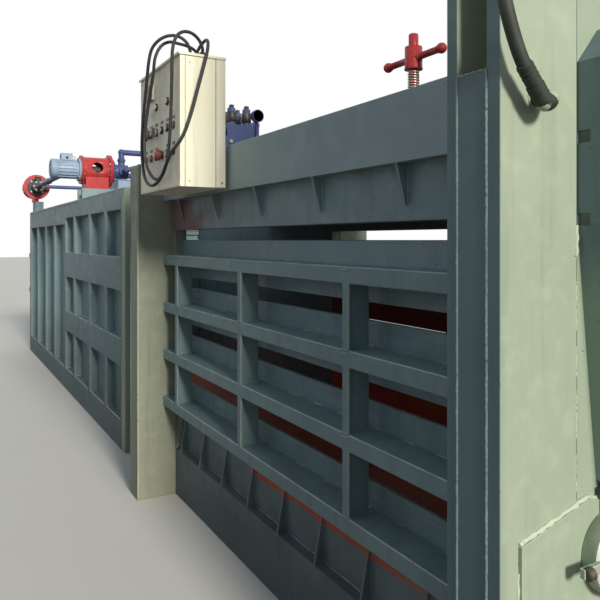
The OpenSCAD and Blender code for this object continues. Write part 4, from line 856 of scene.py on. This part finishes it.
# Pump sets: motor cowl and terminal box, flange bolts, pump end bolts
def pump_set(name, place, axis, side, pump_slot):
    """place is where bell and motor meet; axis points to the pump; side is the set's third direction."""
    base = Vector(place)

    def at(along, sideways, height):
        return base + axis * along + side * sideways + Z * height

    cowl = Shape()
    cowl.lathe(at(-0.2752, 0, 0), -axis, [(0, 0.1), (0.006, 0.0985), (0.012, 0.092), (0.013, 0.086)], 40)
    for r in (0.026, 0.044, 0.062, 0.08):
        ring = [at(-0.2895, r * cos, r * sin) for cos, sin in around(32)]
        cowl.tube(ring + ring[:1], 0.0022, 6)
    for cos, sin in around(8):
        cowl.tube([at(-0.2885, r * cos, r * sin) for r in (0.01, 0.088)], 0.0022, 6)
    cowl.stud(at(-0.286, 0, 0), -axis, 0.013, 0.005, 0.006, 0.011, 20)
    cowl.block(at(-0.188, -0.052, 0.1502), at(-0.082, 0.052, 0.1585), 0.003)
    cowl.block(at(-0.19, -0.058, 0.088), at(-0.08, 0.058, 0.097), 0.002)
    cowl.lathe(at(-0.06, 0, 0.097), Z, [(-0.012, 0.01), (0.004, 0.01)], 12)
    eye = [at(-0.06 + 0.016 * cos, 0, 0.118 + 0.016 * sin) for cos, sin in around(20)]
    cowl.tube(eye + eye[:1], 0.0045, 8)
    cowl.make(name + "_motor_fittings", "grey_blue_paint")

    grille = Shape()
    grille.lathe(at(-0.2756, 0, 0), -axis, [(0, 0.086), (0.0105, 0.086)], 32)
    gland = [(0, 0.013), (0.006, 0.013), (0.008, 0.01), (0.02, 0.01), (0.022, 0.008)]
    grille.lathe(at(-0.135, 0.0552, 0.115), side, gland, 18)
    grille.make(name + "_fan_opening", "black_plastic")

    bolts = Shape()
    corners = around(4, math.pi / 4)
    for along, sideways in itertools.product((-0.178, -0.092), (-0.042, 0.042)):
        bolts.stud(at(along, sideways, 0.1585), Z, 0.0045, 0.003, 0.004, 0.0035, 10)
    for cos, sin in corners:
        rim = at(-0.272, 0.0995 * cos, 0.0995 * sin)
        bolts.stud(rim, side * cos + Z * sin, 0.0045, 0.003, 0.004, 0.0035, 10)
        bolts.hex_bolt(at(-0.022, 0.108 * cos, 0.108 * sin), -axis, 0.011)
    for cos, sin in around(8, math.pi / 8):
        bolts.hex_bolt(at(0.022, 0.142 * cos, 0.142 * sin), axis, 0.009)
        bolts.hex_bolt(at(0.28, 0.152 * cos, 0.152 * sin), -axis, 0.01)
    for cos, sin in corners:
        bolts.hex_bolt(at(0.34, 0.1 * cos, 0.1 * sin), axis, 0.011)
    for cos, sin in around(6):
        bolts.hex_bolt(at(0.49, 0.058 * cos, 0.058 * sin), axis, 0.009)
    bolts.fasten(name + "_set_bolts")

    body = Shape()
    body.stud(at(0.49, 0, 0), axis, 0.04, 0.01, 0.012, 0.037, 28)
    for along in (0.372, 0.412):
        body.lathe(at(along, 0, 0), axis, [(0, 0.0765), (0.006, 0.0775), (0.012, 0.0765)], 36)
    body.lathe(at(0.43, 0, 0.1152), Z, [(0, 0.031), (0.001, 0.044), (0.012, 0.044), (0.014, 0.041)], 28)
    body.make(name + "_pump_rings", pump_slot)


pump_set("front", (-1.9, -0.615, 2.33), Y, X, "blue_paint")
pump_set("rear", (-4.76, -0.69, 2.33), X, -Y, "dark_metal")


# Oil tank: lid bolts, level glass, filler ribs, breather ribs and drain plug
def tank_details():
    trim, bolts, glass, black, cap = Shape(), Shape(), Shape(), Shape(), Shape()
    lid_z, seam_z, cap_x, cap_y = 2.358, 2.0015, -3.95, 0.21
    for i in range(13):
        for y in (0.053, 0.664):
            bolts.hex_bolt((-4.19 + 0.0985 * i, y, lid_z), Z, 0.008, False)
    for i in range(1, 6):
        for x in (-4.208, -2.992):
            bolts.hex_bolt((x, 0.053 + 0.102 * i, lid_z), Z, 0.008, False)
    for z in (2.084, 2.276):
        bolts.stud((-2.982, 0.2, z), X, 0.012, 0.006, 0.008, 0.01, 6)
    plug = [(0, 0.02), (0.004, 0.02), (0.004, 0.014), (0.014, 0.014), (0.016, 0.011)]
    bolts.lathe((-2.999, 0.36, 2.035), X, plug, 6)
    bolts.fasten("tank_bolts")
    trim.block((-4.203, 0.14, 2.06), (-4.199, 0.58, 2.3), 0.001)
    for y in (0.0575, 0.6625):
        trim.bead((-4.19, y, seam_z), (-3.01, y, seam_z), 0.004, 0.02)
    for x in (-4.2015, -2.9985):
        trim.bead((x, 0.07, seam_z), (x, 0.65, seam_z), 0.004, 0.02)
        for y in (0.06, 0.66):
            trim.bead((x, y, 2.01), (x, y, 2.345), 0.003, 0.02)
    handle = ((0.1, 2.357), (0.1, 2.385), (0.13, 2.4), (0.17, 2.4), (0.2, 2.385), (0.2, 2.357))
    for x in (-3.9, -3.3):
        trim.tube([(x, y, z) for y, z in handle], 0.006, 10)
    trim.make("tank_trim", "grey_blue_paint")
    glass.block((-2.9835, 0.186, 2.1), (-2.978, 0.214, 2.26), 0.0015)
    glass.make("tank_level_glass", "lamp_plastic")
    black.lathe((-3.25, 0.36, 2.5), Z, [(0, 0.077), (0.01, 0.079), (0.03, 0.079), (0.036, 0.07)], 40)
    rib = [(0, 0.0755), (0.002, 0.0775), (0.006, 0.0775), (0.008, 0.0755)]
    for k in range(7):
        black.lathe((-3.25, 0.36, 2.385 + 0.015 * k), Z, rib, 40)
    black.make("tank_breather_ribs", "black_plastic")
    for cos, sin in around(24):
        x, y = cap_x + 0.0535 * cos, cap_y + 0.0535 * sin
        cap.tube([(x, y, 2.393), (x, y, 2.417)], 0.0022, 6)
    cap.lathe((cap_x, cap_y, 2.4195), Z, [(0, 0.05), (0.0025, 0.047)], 40)
    cap.make("filler_cap_ribs", "black_plastic", body="filler_cap")


# Valve block: coil plugs, end caps, block plugs, gauge face and bolts
def valve_details():
    black, bolts, blue, face = Shape(), Shape(), Shape(), Shape()
    end_cap = [(0, 0.026), (0.03, 0.026), (0.036, 0.02), (0.04, 0.01)]
    gauge, foot_z = (0.788, 0.12, 2.51), 1.771
    for x in (0.56, 0.72):
        for y in (-0.06, 0.06):
            black.lathe((x, y, 2.46), Z, [(0, 0.0335), (0.004, 0.036), (0.07, 0.036), (0.074, 0.0335)], 28)
            black.block((x - 0.015, y - 0.015, 2.552), (x + 0.015, y + 0.015, 2.586), 0.003)
            black.stud((x - 0.015, y, 2.568), -X, 0.009, 0.012, 0.014, 0.006, 12)
            bolts.stud((x, y, 2.586), Z, 0.004, 0.003, 0.004, 0.003, 8)
        for y in (-0.095, 0.095):
            for dx in (-0.028, 0.028):
                bolts.hex_bolt((x + dx, y, 2.44), Z, 0.007, False)
        for s in (-1, 1):
            black.lathe((x, s * 0.11, 2.39), (0, s, 0), end_cap, 20)
    for y in (-0.1, 0.0, 0.1):
        for z in (2.235, 2.305):
            bolts.stud((0.8, y, z), X, 0.016, 0.008, 0.01, 0.013, 6)
    for x in (0.53, 0.61, 0.69, 0.76):
        for s in (-1, 1):
            bolts.stud((x, s * 0.16, 2.27), (0, s, 0), 0.014, 0.008, 0.01, 0.011, 6)
    bolts.fasten("valve_block_bolts")
    black.make("valve_coils", "black_plastic")
    for x in (0.49, 0.53, 0.75, 0.79):
        blue.bead((x, -0.145, foot_z), (x, 0.145, foot_z), 0.004, 0.016)
    blue.lathe(gauge, X, [(0, 0.0455), (0.008, 0.0465), (0.01, 0.0455), (0.01, 0.041), (0.004, 0.0405)], 44)
    blue.make("valve_block_trim", "blue_paint")
    face.lathe((0.7885, *gauge[1:]), X, [(0, 0.0405), (0.0035, 0.0405)], 44)
    face.make("gauge_glass", "lamp_plastic")


# Pipes: union nuts, the collar at the valve block and clamps over the deck pipe
def pipe_details():
    rings, clamps = Shape(), Shape()
    unions = (((-1.9, -0.1855, 2.452), Z), ((-1.9, 0.16, 2.54), Y), ((-2.3, 0.24, 2.46), Z),
              ((-2.3, -0.3, 2.33), Y), ((-3.4, -0.69, 2.33), X), ((-1.2, 0.35, 2.54), X),
              ((-0.4, 0.35, 2.54), X), ((0.28, 0.2, 2.27), Y))
    nut = [(0, 0.0302), (0.0005, 0.043), (0.015, 0.043), (0.016, 0.0302)]
    for place, axis in unions:
        for shift in (-0.02, 0.004):
            rings.lathe(Vector(place) + axis * shift, axis, nut, 6, 0.3)
    rings.lathe((0.455, 0, 2.27), X, [(0, 0.0302), (0.0005, 0.045), (0.024, 0.045)], 30)
    rings.make("pipe_unions", "blue_paint")
    bow = ((-0.033, 2.52), (-0.033, 2.54), (-0.023, 2.563), (0, 2.573),
           (0.023, 2.563), (0.033, 2.54), (0.033, 2.52))
    for x in (-1.45, -0.75):
        clamps.tube([(x, 0.35 + dy, z) for dy, z in bow], 0.0045, 8)
    clamps.fasten("pipe_clamps")


# Cabinet: gaskets, trim, glands, screws, bezels, legend blanks and the faces of the controls
CONTROL_X = [1.61 + 0.088 * i for i in range(6)]
UPPER_Z, LOWER_Z = 2.152, 2.027
CABINET_Z0, CABINET_Z1 = 1.852, 2.474


def cabinet_details():
    x1, front, low, high = 2.14, -0.95, CABINET_Z0, CABINET_Z1
    dark, cream, metal, black = Shape(), Shape(), Shape(), Shape()
    dark.block((x1 - 0.001, -0.9262, low + 0.002), (x1 + 0.0012, -0.9238, high - 0.001), 0.0003)
    dark.block((1.527, -0.9262, low - 0.0012), (x1, -0.9238, low + 0.001), 0.0003)
    dark.block((x1 - 0.001, -0.7715, low + 0.002), (x1 + 0.0012, -0.769, high - 0.001), 0.0003)
    dark.make("cabinet_gasket", "black_plastic")
    cream.block((x1 - 0.001, -0.769, low + 0.002), (x1 + 0.0025, -0.7215, high - 0.001), 0.0008)
    cream.block((1.494, -0.9595, 2.47), (2.146, -0.9565, 2.482), 0.0008)
    cream.block((2.1445, -0.958, 2.47), (2.1475, -0.72, 2.482), 0.0008)
    cream.block((1.533, -0.9515, low + 0.006), (2.134, -0.9495, low + 0.012), 0.0004)
    cream.make("cabinet_trim", "cream_paint")
    roof_gland = [(0, 0.0162), (0.001, 0.018), (0.018, 0.018), (0.022, 0.0135), (0.026, 0.0095)]
    girder_gland = [(0, 0.0165), (0.001, 0.021), (0.014, 0.021), (0.028, 0.0165), (0.034, 0.0105)]
    for x, y in ((1.95, -0.83), (2.04, -0.8)):
        metal.stud((x, y, 2.4815), Z, 0.021, 0.008, 0.01, 0.019, 6, 0.2)
        black.lathe((x, y, 2.5), Z, roof_gland, 20)
    for x in (1.58, 1.66):
        black.lathe((x, -0.625, 2.062), Z, girder_gland, 20)
    metal.stud((x1 + 0.0004, -0.74, 1.875), X, 0.006, 0.008, 0.009, 0.005, 6)
    for z in (1.88, 2.44):
        metal.stud((x1 + 0.0002, -0.905, z), X, 0.0045, 0.0018, 0.0024, 0.003, 14)
    metal.fasten("cabinet_fittings")
    black.make("cabinet_glands", "black_plastic")

    bezel = Shape()
    recess = [(0, 0.0205), (0.0022, 0.0205), (0.0035, 0.019), (0.0035, 0.0168), (0.0012, 0.0164),
              (0.0012, 0.0118), (0.0002, 0.0114)]
    for row in (UPPER_Z, LOWER_Z):
        for i, x in enumerate(CONTROL_X):
            bezel.lathe((x, front, row), -Y, recess, 30)
            if i != 3 or row > LOWER_Z:
                bezel.block((x - 0.02, front - 0.0016, row + 0.033), (x + 0.02, front, row + 0.047), 0.0005)
    for row in (UPPER_Z, LOWER_Z):
        bezel.stud((CONTROL_X[5], front, row), -Y, 0.014, 0.006, 0.007, 0.012, 24)
    lamp_rim = [(0, 0.0195), (0.008, 0.0195), (0.01, 0.0175), (0.01, 0.0152)]
    for x in CONTROL_X[:5:2]:
        bezel.lathe((x, front, UPPER_Z + 0.13), -Y, lamp_rim, 28)
    blank_rim = [(0, 0.02), (0.009, 0.02), (0.012, 0.017), (0.012, 0.0152)]
    for row, i in ((UPPER_Z, 3), (UPPER_Z, 4), (LOWER_Z, 2), (LOWER_Z, 4)):
        bezel.lathe((CONTROL_X[i], front, row), -Y, blank_rim, 28)
    bezel.block((1.636, front - 0.0135, UPPER_Z + 0.176), (1.744, front - 0.0118, UPPER_Z + 0.264), 0.0006)
    bezel.make("control_bezels", "black_plastic")

    for n, x in enumerate(CONTROL_X[:3], 1):
        knob = Shape()
        knob.lathe((x, front, UPPER_Z), -Y, [(0.01, 0.0195), (0.012, 0.0185), (0.013, 0.016)], 30)
        low_z, high_z = UPPER_Z + 0.004, UPPER_Z + 0.0205
        knob.block((x - 0.0012, front - 0.0287, low_z), (x + 0.0012, front - 0.0277, high_z), 0.0002)
        knob.make(f"selector_{n}_pointer", "lamp_plastic", body=f"selector_{n}")
    dish = [(0, 0.0152), (0.0012, 0.0146), (0.0012, 0.0128), (0.0006, 0.0122)]
    for body, i, slot in (("start_button", 0, "green_plastic"), ("stop_button", 1, "red_plastic")):
        cap = Shape()
        cap.lathe((CONTROL_X[i], front - 0.0118, LOWER_Z), -Y, dish, 32)
        cap.make(body + "_face", slot, body=body)
    mushroom = Shape()
    crown = [(0, 0.0262), (0.003, 0.024), (0.0055, 0.0185), (0.007, 0.0105), (0.0075, 0.003)]
    mushroom.lathe((CONTROL_X[3], front - 0.0338, LOWER_Z), -Y, crown, 40)
    mushroom.make("emergency_stop_crown", "red_plastic", body="emergency_stop")


# Cabinet door: hinge screws, folded edge and latch rosette
def cabinet_door_details():
    door, lip, latch = Shape(), Shape(), Shape()
    low, high = CABINET_Z0, CABINET_Z1
    for z in (low + 0.09, high - 0.13):
        door.stud((1.496, -0.712, z + 0.0405), Z, 0.0075, 0.003, 0.0045, 0.005, 16)
        for dz in (0.026, 0.036):
            door.stud((1.5002, -0.728, z + dz), -X, 0.003, 0.0012, 0.0018, 0.002, 12)
    door.fasten("door_hinge_screws", "cabinet_door")
    for z0, z1 in ((low + 0.004, low + 0.0055), (high - 0.0065, high - 0.005)):
        lip.block((1.5245, -0.944, z0), (1.5258, -0.73, z1), 0.0003)
    for y0, y1 in ((-0.943, -0.935), (-0.737, -0.729)):
        lip.block((1.4985, y0, low + 0.02), (1.5002, y1, high - 0.02), 0.0004)
    lip.make("cabinet_door_edge", "cream_paint", body="cabinet_door")
    latch.lathe((1.488, -0.91, 2.163), -X, [(0, 0.0185), (0.002, 0.0175)], 28)
    latch.lathe((1.4745, -0.91, 2.163), -X, [(0, 0.004), (0.0012, 0.004)], 14)
    latch.fasten("latch_rosette", "door_latch")


tank_details()
valve_details()
pipe_details()
cabinet_details()
cabinet_door_details()


# Press: welds of the rear end plate, the main cylinder's bolts and fittings, and the ram's bolts
def press_details():
    welds, gland, ring, ram = Shape(), Shape(), Shape(), Shape()
    rear, head = -5.061, -1.86
    for y in (-0.465, -0.155, 0.155, 0.465):
        for edge in (y - 0.031, y + 0.031):
            welds.bead((rear, edge, 0.906), (rear, edge, 1.344), 0.006, 0.02)
    for z in (0.844, 0.906, 1.344, 1.406):
        welds.bead((rear, -0.69, z), (rear, 0.69, z), 0.006, 0.02)
    welds.make("rear_end_welds", "green_paint", WELD)
    for cos, sin in around(12):
        gland.hex_bolt((head, 0.172 * cos, MAIN_CYLINDER_Z + 0.172 * sin), X, 0.016)
    gland.fasten("main_gland_bolts")
    wiper = [(0, 0.118), (0.006, 0.118), (0.01, 0.112), (0.01, 0.0925)]
    ring.lathe((head, 0, MAIN_CYLINDER_Z), X, wiper, 48)
    for x in (-4.85, -2.1):
        ring.stud((x, 0, MAIN_CYLINDER_Z + 0.2045), Z, 0.0415, 0.018, 0.02, 0.039, 6)
    ring.make("main_cylinder_fittings", "dark_metal")
    for y in (-0.44, -0.22, 0.0, 0.22, 0.44):
        for z in (0.6, 0.84):
            ram.lathe((-1.4995, y, z), X, [(0, 0.016), (0.0008, 0.0155)], 20)
    for cos, sin in around(8, math.pi / 8):
        ram.hex_bolt((-1.6, 0.125 * cos, MAIN_CYLINDER_Z + 0.125 * sin), -X, 0.018)
    for i in range(7):
        ram.lathe((-1.4955, -0.45 + 0.15 * i, 1.717), X, [(0, 0.013), (0.0008, 0.012)], 18)
    ram.fasten("ram_bolts", "ram")


press_details()


# Floor, light and background
def make_stage():
    mesh = bpy.data.meshes.new("studio_floor")
    far = 60
    mesh.from_pydata([(-far, -far, 0), (far, -far, 0), (far, far, 0), (-far, far, 0)], [], [(0, 1, 2, 3)])
    floor = new_object("studio_floor", mesh)
    g = Graph("pale_floor", (112, 104, 98))
    seen = g.node("LightPath").outputs["Is Camera Ray"]
    g.cover(seen, g.mix(g.noise(0.6, 3), (216, 212, 206), (224, 221, 216)))
    mesh.materials.append(g.finish(0.8, None))
    sun = bpy.data.lights.new("key", "SUN")
    sun.energy = 3.6
    sun.angle = math.radians(12)
    sun.color = (1.0, 0.96, 0.87)
    aim(new_object("key", sun), (-0.93, 0.055, -0.37))


def make_world():
    """A blue sky light that camera, glossy and transmitted rays see as plain white."""
    world = bpy.data.worlds.new("studio")
    world.use_nodes = True
    g = Nodes(world.node_tree)
    light = g.fill(g.tree.nodes["Background"], {"Color": (0.76, 0.88, 1.0, 1), "Strength": 0.32})
    white = g.node("Background", {"Color": (1, 1, 1, 1)})
    rays = g.node("LightPath").outputs
    seen = rays["Is Camera Ray"]
    for other in ("Is Glossy Ray", "Is Transmission Ray"):
        seen = g.node("Math", {0: seen, 1: rays[other]}, operation="MAXIMUM").outputs[0]
    mixed = g.node("MixShader", {0: seen, 1: light.outputs[0], 2: white.outputs[0]})
    g.fill(g.tree.nodes["World Output"], {"Surface": mixed.outputs[0]})
    bpy.context.scene.world = world
    bpy.context.scene.view_settings.view_transform = "Standard"


make_stage()
make_world()
